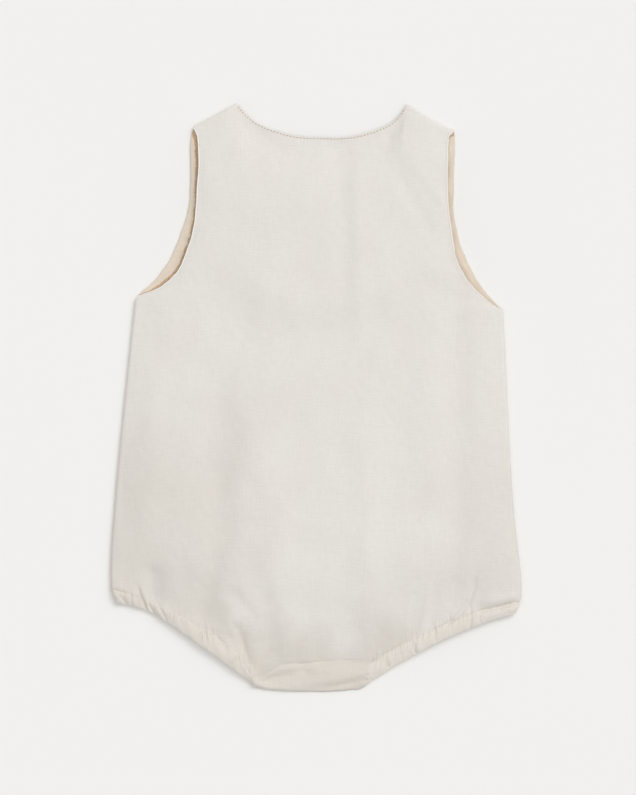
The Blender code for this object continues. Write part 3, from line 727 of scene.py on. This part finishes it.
def back_rows():
    plain = row_places(BACK_CUT, (34, 48, 18, 48, 34))
    fine = doubled(plain)
    rows = [(h / MEAN_LENGTH, fine) for h in LEG_STEPS]
    rows += [((LEG_STEPS[-1] + 1.45 * k) / MEAN_LENGTH, fine) for k in range(1, 27)]
    start = rows[-1][0]
    rows += [(v, plain) for v in spaced([start, UNDERARM_V], [100])[1:]]
    top = 1 - EDGE_STEPS[-1] * 1.5 / MEAN_LENGTH
    rows += [(v, plain) for v in spaced([UNDERARM_V, top], [66])[1:]]
    rows += [(1 - step / MEAN_LENGTH, plain) for step in reversed(EDGE_STEPS)]
    return [(v, np.array(places)) for v, places in rows + [(1.0, plain)]]


def front_rows():
    places = row_places(FRONT_CUT, (16, 18, 12, 18, 16))
    vs = with_edges(spaced([0, UNDERARM_V, 1], (44, 34)), MEAN_LENGTH)
    return [(v, np.array(places)) for v in vs]


# Casings


CASING_SECTIONS = 28
CASING_WALL = 0.5
CASING_WIDTH = 11.0  # about its width, for the ripples' reach
CASING_RINGS = {"upper": 330, "hip": 20, "lower": 160}


def casing_stations(side):
    """Places along a casing: along the leg, height and turn over the hip."""
    radius = (float(leg_height(side, 1.0)) - CASING_HALF) / 2
    last = 1 - (radius + CASING_HALF) / LEG_LENGTH
    start = -0.6 / LEG_LENGTH
    upper, hip, lower = CASING_RINGS.values()
    places = [lerp(start, last, k / upper) for k in range(upper + 1)]
    stations = [(place, float(leg_height(side, place)), 0.0) for place in places]
    for k in range(1, hip):
        turn = math.pi * k / hip
        stations.append((last, CASING_HALF + radius * (1 + math.cos(turn)), turn))
    stations += [(last * (1 - k / lower), CASING_HALF, math.pi) for k in range(lower + 1)]
    return stations, radius


def casing_points(side, inset):
    """Rings of points along a casing's tube, by how far its wall lies inside."""
    stations, radius = casing_stations(side)
    angle = 2 * math.pi * np.arange(CASING_SECTIONS) / CASING_SECTIONS
    wide = np.sign(np.cos(angle)) * np.abs(np.cos(angle)) ** 0.8
    below = -np.clip(-np.sin(angle), 0, 1) ** 0.8
    place = (wide + 1) / 2
    share = 1 - inset / CASING_HALF
    rings = []
    for t, height, turn in stations:
        outer, inner = leg_line(side, t, 0.0), leg_line(side, t, 1.0)
        ahead = np.append(unit(leg_line(side, t + 0.01, 0.5) - leg_line(side, t - 0.01, 0.5)), 0)
        middle = np.append((outer + inner) / 2, height) + ahead * radius * math.sin(turn)
        across = np.append((inner - outer) / 2, 0)
        up = np.array([0, 0, math.cos(turn)]) + ahead * math.sin(turn)
        tall, lift = casing_top(side, t, place)
        skin = leg_line(side, t, place)
        finer = relief(skin[..., 0], skin[..., 1]) + stitch_ripple(side, t, (1 - place) * CASING_WIDTH)
        follow = np.where(place > 0.5, 1.0, np.clip(tall * 1.4 / CASING_HALF, 0, 1))
        lift = lift + finer * follow
        facing_up = max(math.cos(turn), 0)
        on_top = np.sin(angle) > 1e-9
        lift = np.where(on_top | (turn == 0), lift * facing_up, 0)
        rise = np.where(on_top, tall * share, below * CASING_HALF * share) + lift
        notch = 0.45 * relief(*outer) * (1 - place) ** 2 * facing_up / np.linalg.norm(across)
        ring = middle + np.outer(wide * (1 - inset / np.linalg.norm(across)) - notch, across)
        rings.append(ring + np.outer(rise, up))
    return rings


def add_casing(name, side, material):
    """A hollow tube with open ends."""
    outside, inside = casing_points(side, 0.0), casing_points(side, CASING_WALL)
    count, sections = len(outside), CASING_SECTIONS
    points = np.concatenate(outside + inside)
    faces = []
    for base, flip in ((0, side > 0), (count * sections, side < 0)):
        for i in range(count - 1):
            for j in range(sections):
                k = (j + 1) % sections
                a, b = base + i * sections, base + (i + 1) * sections
                face = (a + j, b + j, b + k, a + k)
                faces.append(face if flip else face[::-1])
    for end in (0, count - 1):
        for j in range(sections):
            k = (j + 1) % sections
            a, b = end * sections, (count + end) * sections
            face = (a + j, a + k, b + k, b + j)
            faces.append(face if (end == 0) == (side > 0) else face[::-1])
    return add_mesh(name, points, faces, material)


LEG_STITCH_PLACE = 0.93  # just below a casing's edge


def leg_stitch_path(side, t):
    """The row of stitches along a casing."""
    spots = leg_line(side, t, LEG_STITCH_PLACE)
    tall, lift = casing_top(side, t, LEG_STITCH_PLACE)
    ripple = stitch_ripple(side, t, (1 - LEG_STITCH_PLACE) * CASING_WIDTH)
    z = leg_height(side, t) + tall + lift + relief(spots[:, 0], spots[:, 1]) + ripple
    return np.column_stack((spots, z))


# Crotch bands and facings

BAND_SHELL = 1.4
BAND_MESH = (170, 44)  # faces across and along
FACING_SHELL = 0.7
FACING_MESH = (52, 240)
BAND_LAP = 0.5  # how far its ends reach over the casings
BAND_ENDS = (-40.0, 41.0)  # where it meets the casings
BAND_SEAM_ENDS = (-39.8, 41.4)
BAND_BLEND = 13.0  # over which its ends come to the casings' height
BAND_OVER = 0.7  # how far its edge lies over the panel's at the seam
BAND_SWELL = 1.3  # how much fuller its middle is
BAND_WIDTH = 17.0
BAND_FOLD_Z = 1.7
BAND_DOWN = 0.9  # its seam's edge lies this much lower than the panel's before they meet
FRONT_BAND_Z = 0.9


def band_surface(shown):
    """The band between the casings' ends: from its fold at the crotch (v = 0) to its seam."""
    share = BACK_CUT.leg_share
    edge = back_surface(np.linspace(share, 1 - share, 240), 0.0)

    def surface(u, v):
        u, v = matched(u, v)
        x = lerp(FOLD_LINE[0][0] - BAND_LAP, FOLD_LINE[-1][0] + BAND_LAP, u)
        top_x = lerp(BAND_SEAM_ENDS[0] - BAND_LAP, BAND_SEAM_ENDS[1] + BAND_LAP, u)
        seam = read_curve(SEAM_LINE, np.maximum(top_x, BAND_SEAM_ENDS[0])) + BAND_OVER
        low, high = lay(x, read_curve(FOLD_LINE, x)), lay(top_x, seam)
        plan = lerp(low, high, v[..., None])
        x, y = plan[..., 0], plan[..., 1]
        if not shown:
            return np.stack((x, y, FRONT_BAND_Z + 0 * x), -1)
        top_z = SEAM_HEIGHT + left_of_crotch(x) - BAND_DOWN
        z = lerp(BAND_FOLD_Z, top_z, v**0.85) - 0.8 * quarter_turn(v * BAND_WIDTH, 1.0)
        z = z + BAND_SWELL * np.sin(math.pi * v**1.2) * smooth((x + 4) / 26)
        for side, from_end in ((-1, x - BAND_ENDS[0]), (1, BAND_ENDS[1] - x)):
            bottom, top = leg_line(side, 0.0, 0.0)[1], leg_line(side, 0.0, 1.0)[1]
            tall, lift = casing_top(side, 0.0 * x, np.clip((y - bottom) / (top - bottom), 0, 1))
            at_end = LEG_Z["crotch"] + tall + lift - BAND_SHELL / 2 + 0.04
            z = lerp(at_end, z, smooth(from_end / BAND_BLEND))
        z = z + relief(x, y)
        near_seam = bell((1 - v) * BAND_WIDTH / SEAM_MERGE)
        z = lerp(z, np.interp(x, edge[:, 0], edge[:, 2]) + SEAM_STEP, near_seam)
        return np.stack((x, y, z), -1)

    return surface


def facing_surface(side):
    """A tan strip inside the front panel's armhole, from the underarm to the shoulder."""

    def surface(u, v):
        u, v = matched(u, v)
        reach = FACING_INSET + FACING_WIDTH / MEAN_WIDTH * from_side(side, u)
        place = lerp(UNDERARM_V + 0.004, 1 - 0.8 / MEAN_LENGTH, v)
        on = front_surface(from_side(side, reach), place)
        uneven = 0.35 * (1 + waves(on[..., 0], on[..., 1], 13, 15 + side)) * smooth(reach * 40)
        lift = WALL / 2 + FACING_LIFT + uneven
        return on + np.stack((0 * lift, 0 * lift, lift), -1)

    return surface


# How wide the painted shadow on the facing is beside each armhole's edge, by height
SHADOW_WIDTH = {
    -1: (
        (276, 0.4), (280, 1.5), (286, 3), (292, 3), (305, 2.6), (318, 2.4), (330, 2.2), (345, 2),
        (355, 2.4), (372, 2.6), (385, 3), (395, 3.8),
    ),
    1: (
        (276, 0.6), (281, 0.8), (288, 0.3), (300, 1), (308, 0.6), (316, 0), (390, 0), (396, 1.4), (398, 4),
    ),
}


def paint_facing_shadow(facing, side, material):
    """Painted shadow: a darker material on the facing's faces under the back panel and close beside its
    edge, where that edge's shadow falls.
    """
    facing.data.materials.append(material)
    edge = back_surface(from_side(side, 0.0), np.linspace(UNDERARM_V, 1, 400))
    centres = np.array([polygon.center for polygon in facing.data.polygons]) / MM - ORIGIN
    apart = np.linalg.norm(centres[:, None, :2] - edge[None, :, :2], axis=2)
    nearest = edge[apart.argmin(1)]
    under = (centres[:, 0] - nearest[:, 0]) * side < 0
    width = read_table(SHADOW_WIDTH[side], centres[:, 1])
    width = width + 0.35 * np.minimum(width, 1) * waves(centres[:, 0], centres[:, 1], 3.4, 17)
    # deep marks a face in the painted shadow
    for polygon, deep in zip(facing.data.polygons, under | (apart.min(1) < width)):
        polygon.material_index = int(deep)


def even_rows(across, along):
    return [(k / along, np.linspace(0, 1, across + 1)) for k in range(along + 1)]


# Rolled edges and stitches


def tube_faces(rings, sides, base=0):
    """The faces of a tube through rings of points, closed at both ends."""
    faces = []
    last = base + (rings - 1) * sides
    for a in range(base, last, sides):
        for j in range(sides):
            k = (j + 1) % sides
            faces.append((a + j, a + k, a + sides + k, a + sides + j))
    return faces + [tuple(range(base, base + sides))[::-1], tuple(range(last, last + sides))]


def turned(run):
    """Directions, and the level and the steep ones square to each."""
    run = unit(run)
    flat = unit(np.cross(run, [0, 0, 1.0]))
    return run, flat, np.cross(flat, run)


def tube(name, path, radius, material, sides=8):
    """A closed tube along a path."""
    _, flat, up = turned(np.gradient(path, axis=0))
    points = []
    for k in range(sides):
        angle = 2 * math.pi * k / sides
        points.append(path + (flat * math.cos(angle) + up * math.sin(angle)) * radius)
    points = np.stack(points, 1).reshape(-1, 3)
    return add_mesh(name, points, tube_faces(len(path), sides), material)


def along_path(path, pitch):
    """Points and directions at even steps along a path."""
    path = np.asarray(path)
    steps = np.linalg.norm(np.diff(path, axis=0), axis=1)
    run = np.concatenate(([0], np.cumsum(steps)))
    at = np.arange(pitch / 2, run[-1], pitch)
    spots = []
    for step in (0, 0.2, -0.2):
        spots.append(np.stack([np.interp(at + step, run, path[:, k]) for k in range(3)], 1))
    return spots[0], spots[1] - spots[2]


Stitch = namedtuple("Stitch", "pitch length width")
NECK_STITCH = Stitch(2.4, 1.3, 0.66)
ARMHOLE_STITCH = Stitch(1.5, 0.85, 0.36)
LEG_STITCH = Stitch(2.4, 1.0, 0.34)
SPUR_STITCH = Stitch(0.45, 0.7, 0.3)
STITCH_PROFILE = ((-1.0, 0.25), (-0.7, 0.85), (0.0, 1.0), (0.7, 0.85), (1.0, 0.25))


def stitches(name, paths, stitch, material):
    """Rows of small raised stitches, each a rounded capsule, as one mesh."""
    points, faces = [], []
    pitch, length, width = stitch
    for path in paths:
        spots, ahead = along_path(path, pitch)
        for spot, run, flat, up in zip(spots, *turned(ahead)):
            faces += tube_faces(len(STITCH_PROFILE), 6, len(points))
            for place, size in STITCH_PROFILE:
                for k in range(6):
                    angle = math.pi * k / 3
                    ring = flat * math.cos(angle) * width / 2 + up * math.sin(angle) * width * 0.4
                    points.append(spot + run * place * length / 2 + ring * size)
    return add_mesh(name, points, faces, material)


# Materials


WHITE = (1.0, 1.0, 1.0)


class Nodes:
    """Short names for building a material's nodes."""

    def __init__(self, name):
        self.material = bpy.data.materials.new(name)
        self.material.use_nodes = True
        self.tree = self.material.node_tree
        self.shader = self.tree.nodes["Principled BSDF"]
        self.where = self.add("ShaderNodeTexCoord").outputs["Object"]

    def fill(self, node, inputs):
        """Give sockets their links or their values."""
        for key, value in inputs.items():
            if isinstance(value, bpy.types.NodeSocket):
                self.tree.links.new(value, node.inputs[key])
            else:
                node.inputs[key].default_value = value

    def add(self, kind, inputs=None, **settings):
        node = self.tree.nodes.new(kind)
        for key, value in settings.items():
            setattr(node, key, value)
        self.fill(node, inputs or {})
        return node

    def math(self, operation, a, b=0.0):
        return self.add("ShaderNodeMath", {0: a, 1: b}, operation=operation).outputs[0]

    def total(self, *parts):
        """The sum of several sources, each times its weight."""
        scaled = [self.math("MULTIPLY", source, weight) for source, weight in parts]
        result = scaled[0]
        for part in scaled[1:]:
            result = self.math("ADD", result, part)
        return result

    def scaled(self, source, scale, rotation=0.0):
        inputs = {"Vector": source, "Scale": scale, "Rotation": (0, 0, rotation)}
        return self.add("ShaderNodeMapping", inputs).outputs[0]

    def parts(self, source):
        return self.add("ShaderNodeSeparateXYZ", {0: source}).outputs

    def noise(self, source, scale, detail=2.0, roughness=0.5):
        inputs = {"Vector": source, "Scale": scale, "Detail": detail, "Roughness": roughness}
        return self.add("ShaderNodeTexNoise", inputs).outputs["Fac"]

    def step(self, source, start, end):
        inputs = {"Value": source, "From Min": start, "From Max": end}
        return self.add("ShaderNodeMapRange", inputs, interpolation_type="SMOOTHSTEP").outputs[0]

    def ramp(self, factor, stops):
        node = self.add("ShaderNodeValToRGB", {"Fac": factor})
        elements = node.color_ramp.elements
        for element, (place, colour) in ((elements[0], stops[0]), (elements[1], stops[-1])):
            element.position = place
            element.color = (*colour, 1)
        for place, colour in stops[1:-1]:
            elements.new(place).color = (*colour, 1)
        return node.outputs["Color"]

    def times(self, a, b):
        """Two colours multiplied."""
        inputs = {0: 1.0, 6: a, 7: b}
        return self.add("ShaderNodeMix", inputs, data_type="RGBA", blend_type="MULTIPLY").outputs[2]

    def bump(self, height, strength, distance):
        inputs = {"Height": height, "Strength": strength, "Distance": distance}
        return self.add("ShaderNodeBump", inputs).outputs["Normal"]


def painted_hem_shade(nodes):
    """Painted shade: the cloth's colour is darkened low down, towards the sides and above the crotch
    seam, in place of the shade that falls there. The places are in metres in the part's frame."""
    part = nodes.parts(nodes.where)
    uneven = nodes.math("MULTIPLY", nodes.math("SUBTRACT", nodes.noise(nodes.where, 22.0), 0.5), 0.09)
    x = nodes.math("ADD", part["X"], uneven)
    y = nodes.math("ADD", part["Y"], uneven)
    low = nodes.step(y, 0.03, -0.09)
    left = nodes.math("MULTIPLY", nodes.step(x, -0.03, -0.075), low)
    right = nodes.math("MULTIPLY", nodes.step(x, 0.062, 0.12), low)
    hem = nodes.total((left, 0.75), (right, 0.6), (nodes.step(y, -0.135, -0.195), 0.7))
    seam = nodes.step(y, -0.145, -0.195)
    for start, end in ((-0.062, -0.034), (0.066, 0.042)):
        seam = nodes.math("MULTIPLY", seam, nodes.step(x, start, end))
    hem_shade_colour = nodes.ramp(hem, ((0.0, WHITE), (1.0, HEM_SHADE)))
    return nodes.times(hem_shade_colour, nodes.ramp(seam, ((0.0, WHITE), (1.0, SEAM_SHADE))))


def woven(name, colour, angle=0.0, repeat=1.0, slub=0.042, sheen=0.12, blotch=0.012, shade=True):
    """Plain-woven cloth: over-and-under threads, slubs along both directions and a soft nap."""
    nodes = Nodes(name)
    where = nodes.scaled(nodes.where, (1, 1, 1), angle)
    part = nodes.parts(where)
    drift = nodes.math("MULTIPLY", nodes.noise(where, 900.0, 1.0), 2.2)
    yarns = []
    for axis in ("X", "Y"):
        phase = nodes.math("MULTIPLY", part[axis], 2 * math.pi / (repeat * MM))
        yarns.append(nodes.math("SINE", nodes.math("ADD", phase, drift)))
    weave = nodes.math("MULTIPLY", *yarns)
    along_x = nodes.noise(nodes.scaled(where, (110, 1250, 110)), 1.0, 2.0, 0.6)
    along_y = nodes.noise(nodes.scaled(where, (1250, 110, 110)), 1.0, 2.0, 0.6)
    slubs = nodes.total((along_x, 0.42), (along_y, 0.38), (nodes.noise(where, 1000.0, 1.0), 0.2))

    dark = tuple(c * (1 - slub) for c in colour)
    light = tuple(min(c * (1 + slub * 0.8), 0.95) for c in colour)
    base = nodes.ramp(slubs, ((0.36, dark), (0.5, colour), (0.64, light)))
    warm = (1 - blotch * 0.2, 1 - blotch * 0.6, 1 - blotch * 1.6)
    patches = nodes.noise(where, 26.0, 3.0, 0.6)
    base = nodes.times(base, nodes.ramp(patches, ((0.35, warm), (0.65, WHITE))))
    # Painted shade low down, towards the sides and above the crotch seam
    if shade:
        base = nodes.times(base, painted_hem_shade(nodes))
    height = nodes.total((weave, 0.35), (slubs, 1.6), (nodes.noise(where, 3500.0), 0.35))
    nodes.fill(nodes.shader, {
        "Base Color": base,
        "Normal": nodes.bump(height, 0.55, 0.00012),
        "Roughness": nodes.math("ADD", nodes.math("MULTIPLY", slubs, 0.15), 0.8),
        "Specular IOR Level": 0.2,
        "Sheen Weight": sheen,
        "Sheen Roughness": 0.6,
    })
    nodes.material.diffuse_color = (*colour, 1)
    return nodes.material


def thread(name, colour):
    """Twisted sewing thread."""
    nodes = Nodes(name)
    fibre = nodes.noise(nodes.where, 2600.0)
    dark = tuple(c * 0.85 for c in colour)
    nodes.fill(nodes.shader, {
        "Base Color": nodes.ramp(fibre, ((0.35, dark), (0.65, colour))),
        "Normal": nodes.bump(fibre, 0.4, 0.00008),
        "Roughness": 0.7,
        "Sheen Weight": 0.2,
    })
    return nodes.material


def floor_material():
    nodes = Nodes("studio_floor")
    low = tuple(c * 0.997 for c in FLOOR)
    nodes.fill(nodes.shader, {
        "Base Color": nodes.ramp(nodes.noise(nodes.where, 3.0), ((0.3, low), (0.7, FLOOR))),
        "Roughness": 1.0,
        "Specular IOR Level": 0.0,
    })
    return nodes.material


# The studio

VIEW_HEIGHT = 0.5645  # metres down the picture, at the ground
VIEW_DISTANCE = 1.5
VIEW_MIDDLE = (-0.0026, -0.0008)
SENSOR = 36  # millimetres
VIEW_ROLL = 1.55  # degrees
FLOOR_HALF = 6.0
FLOOR_Z = -0.0002
Lamp = namedtuple("Lamp", "name azimuth elevation strength angle")
LAMPS = (Lamp("key", 48, 46, 0.6, 44), Lamp("key_core", 48, 46, 0.35, 16), Lamp("overhead", 0, 90, 0.82, 80))
AMBIENT = (0.497, 0.495, 0.491)


def add_studio():
    scene = bpy.context.scene
    camera = add_object("camera", bpy.data.cameras.new("camera"))
    camera.data.sensor_fit = "AUTO"
    camera.data.sensor_width = SENSOR
    camera.data.lens = SENSOR * VIEW_DISTANCE / VIEW_HEIGHT
    camera.location = (*VIEW_MIDDLE, VIEW_DISTANCE)
    camera.rotation_euler = (0, 0, math.radians(VIEW_ROLL))
    scene.camera = camera

    for lamp in LAMPS:
        sun = add_object(lamp.name, bpy.data.lights.new(lamp.name, "SUN"))
        sun.data.energy = lamp.strength
        sun.data.angle = math.radians(lamp.angle)
        turn, rise = math.radians(lamp.azimuth), math.radians(lamp.elevation)
        towards = Vector((math.cos(turn) * math.cos(rise), math.sin(turn) * math.cos(rise), math.sin(rise)))
        sun.rotation_euler = towards.to_track_quat("Z", "Y").to_euler()

    world = bpy.data.worlds.new("studio")
    world.use_nodes = True
    background = world.node_tree.nodes["Background"].inputs
    background["Color"].default_value = (*AMBIENT, 1)
    background["Strength"].default_value = 1.0
    scene.world = world
    scene.view_settings.view_transform = "Standard"
    scene.view_settings.look = "None"

    mesh = bpy.data.meshes.new("floor")
    a = FLOOR_HALF
    mesh.from_pydata([(-a, -a, 0), (a, -a, 0), (a, a, 0), (-a, a, 0)], [], [(0, 1, 2, 3)])
    mesh.materials.append(floor_material())
    floor = add_object("floor", mesh)
    floor.location.z = FLOOR_Z


# The garment


def edge_path(u, v, lift, out):
    """A path over the back panel's upper side, moved up and outwards."""
    u, v = matched(u, v)
    points, normals = back_surface(u, v), upright(back_surface, u, v)
    run = np.gradient(points, axis=0)
    return points + normals * (SHELL / 2 + lift) + unit(np.cross(run, normals)) * out


# Rolled edges: how far each lies above the cloth, how far out and its radius
NECK_ROLL = (-0.5, -0.1, 0.32)
ARMHOLE_ROLL = {-1: (-0.05, -0.02, 0.48), 1: (-0.4, 0.12, 0.45)}
ARMHOLE_STITCH_INSET = 1.4
NECK_STITCH_INSET = ((0.0, 0.4), (0.6, 0.5), (0.8, 1.0), (1.0, 1.6))  # across the neck, from the left
# Up the armhole
SPUR_PLACES = (0.05, 0.09, 0.12, 0.18, 0.21, 0.27, 0.31, 0.36, 0.42, 0.45, 0.52, 0.58, 0.63, 0.7, 0.8)


def spurs(name, side, material):
    """Loose thread ends that stand out from an armhole's edge."""
    pick = np.random.default_rng(41)
    paths = []
    u = from_side(side, 0.5 / MEAN_WIDTH)
    for place in SPUR_PLACES:
        v = lerp(UNDERARM_V, 1, place + pick.uniform(-0.008, 0.008))
        start = back_surface(u, v)
        ahead = back_surface(u, v + 0.002) - start
        out = unit(np.cross(ahead, (0, 0, 1.0)) * -side)
        along = unit(ahead)
        size = pick.uniform(0.8, 1.3)
        tip = start + out * size * 1.4 + along * size * pick.uniform(-0.7, 0.7)
        paths.append(np.array([start + (0, 0, 0.4), (start + tip) / 2 + (0, 0, 0.5), tip - (0, 0, 0.2)]))
    return stitches(name, paths, SPUR_STITCH, material)


def build():
    add_studio()
    linen = woven("linen", LINEN)
    band = {
        # The left casing's darker linen is painted shade
        -1: woven("linen_band_left_shaded", LEFT_BAND_SHADED_LINEN, math.radians(26), shade=False),
        1: woven("linen_band_right", BAND_LINEN, math.radians(-26), shade=False),
    }
    # The crotch bands' darker linen is painted shade
    crotch_shaded_linen = woven("linen_band", CROTCH_SHADED_LINEN, shade=False)
    fine = {"repeat": 0.6, "blotch": 0.05, "shade": False}
    tan = woven("facing_cotton", TAN, slub=0.05, sheen=0.15, **fine)
    shadow_tan = woven("facing_cotton_painted_shadow", SHADOW_TAN, slub=0.2, sheen=0.05, **fine)
    plain = {"repeat": 0.6, "slub": 0.03, "sheen": 0.1, "blotch": 0.0, "shade": False}
    # Paler linen on the armholes' rolled edges is a painted highlight
    edge_highlight_linen = {
        -1: woven("linen_edge_left_highlight", LEFT_EDGE_HIGHLIGHT_LINEN, **plain),
        1: woven("linen_edge_right_highlight", EDGE_HIGHLIGHT_LINEN, **plain),
    }
    armhole_thread = thread("linen_thread", THREAD)
    tan_thread = thread("tan_thread", TAN_THREAD)
    loose_thread = thread("loose_thread", LOOSE_THREAD)

    back = add_shell("back_cloth", back_surface, back_rows(), SHELL, linen)
    front = add_shell("front_cloth", front_surface, front_rows(), SHELL, linen)
    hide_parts("back_panel")
    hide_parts("front_panel")

    for word, shown in (("back", True), ("front", False)):
        rows = even_rows(*BAND_MESH)
        made = add_shell("crotch_" + word, band_surface(shown), rows, BAND_SHELL, crotch_shaded_linen)
        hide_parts("crotch_band_" + word)
    casings, facings = {}, {}
    for side, word in SIDES:
        made = casings[side] = add_casing("casing_" + word, side, band[side])
        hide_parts("leg_casing_" + word)
        rows = even_rows(*FACING_MESH)
        made = facings[side] = add_shell("facing_" + word, facing_surface(side), rows, FACING_SHELL, tan)
        paint_facing_shadow(made, side, shadow_tan)
        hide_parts("armhole_facing_" + word)

    shoulder = BACK_CUT.shoulder_share
    neck = np.linspace(shoulder + 0.004, 1 - shoulder - 0.004, 160)
    lift, out, radius = NECK_ROLL
    roll = tube("neck_edge", edge_path(neck, 1.0, lift, out), radius, linen)
    inside = read_table(NECK_STITCH_INSET, (neck - neck[0]) / (neck[-1] - neck[0]))
    rows = [edge_path(neck, 1 - inside / MEAN_LENGTH, 0.03, 0.0)]
    sewn = stitches("neck_stitches", rows, NECK_STITCH, tan_thread)
    trims = [roll, sewn]
    for side, word in SIDES:
        v = np.linspace(UNDERARM_V + 0.002, 1 - 1.0 / MEAN_LENGTH, 150)
        lift, out, radius = ARMHOLE_ROLL[side]
        path = edge_path(from_side(side, 0.0), v, lift, out)
        trims.append(tube("armhole_edge_" + word, path, radius, edge_highlight_linen[side]))
        row = edge_path(from_side(side, ARMHOLE_STITCH_INSET / MEAN_WIDTH), v, 0.02, 0.0)
        trims.append(stitches("armhole_stitches_" + word, [row], ARMHOLE_STITCH, armhole_thread))
    trims.append(spurs("armhole_spurs_left", -1, loose_thread))
    for side, word in SIDES:
        row = leg_stitch_path(side, np.linspace(0.02, 0.97, 260))
        trims.append(stitches("leg_stitches_" + word, [row], LEG_STITCH, loose_thread))
    for piece in trims[2:]:
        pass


build()
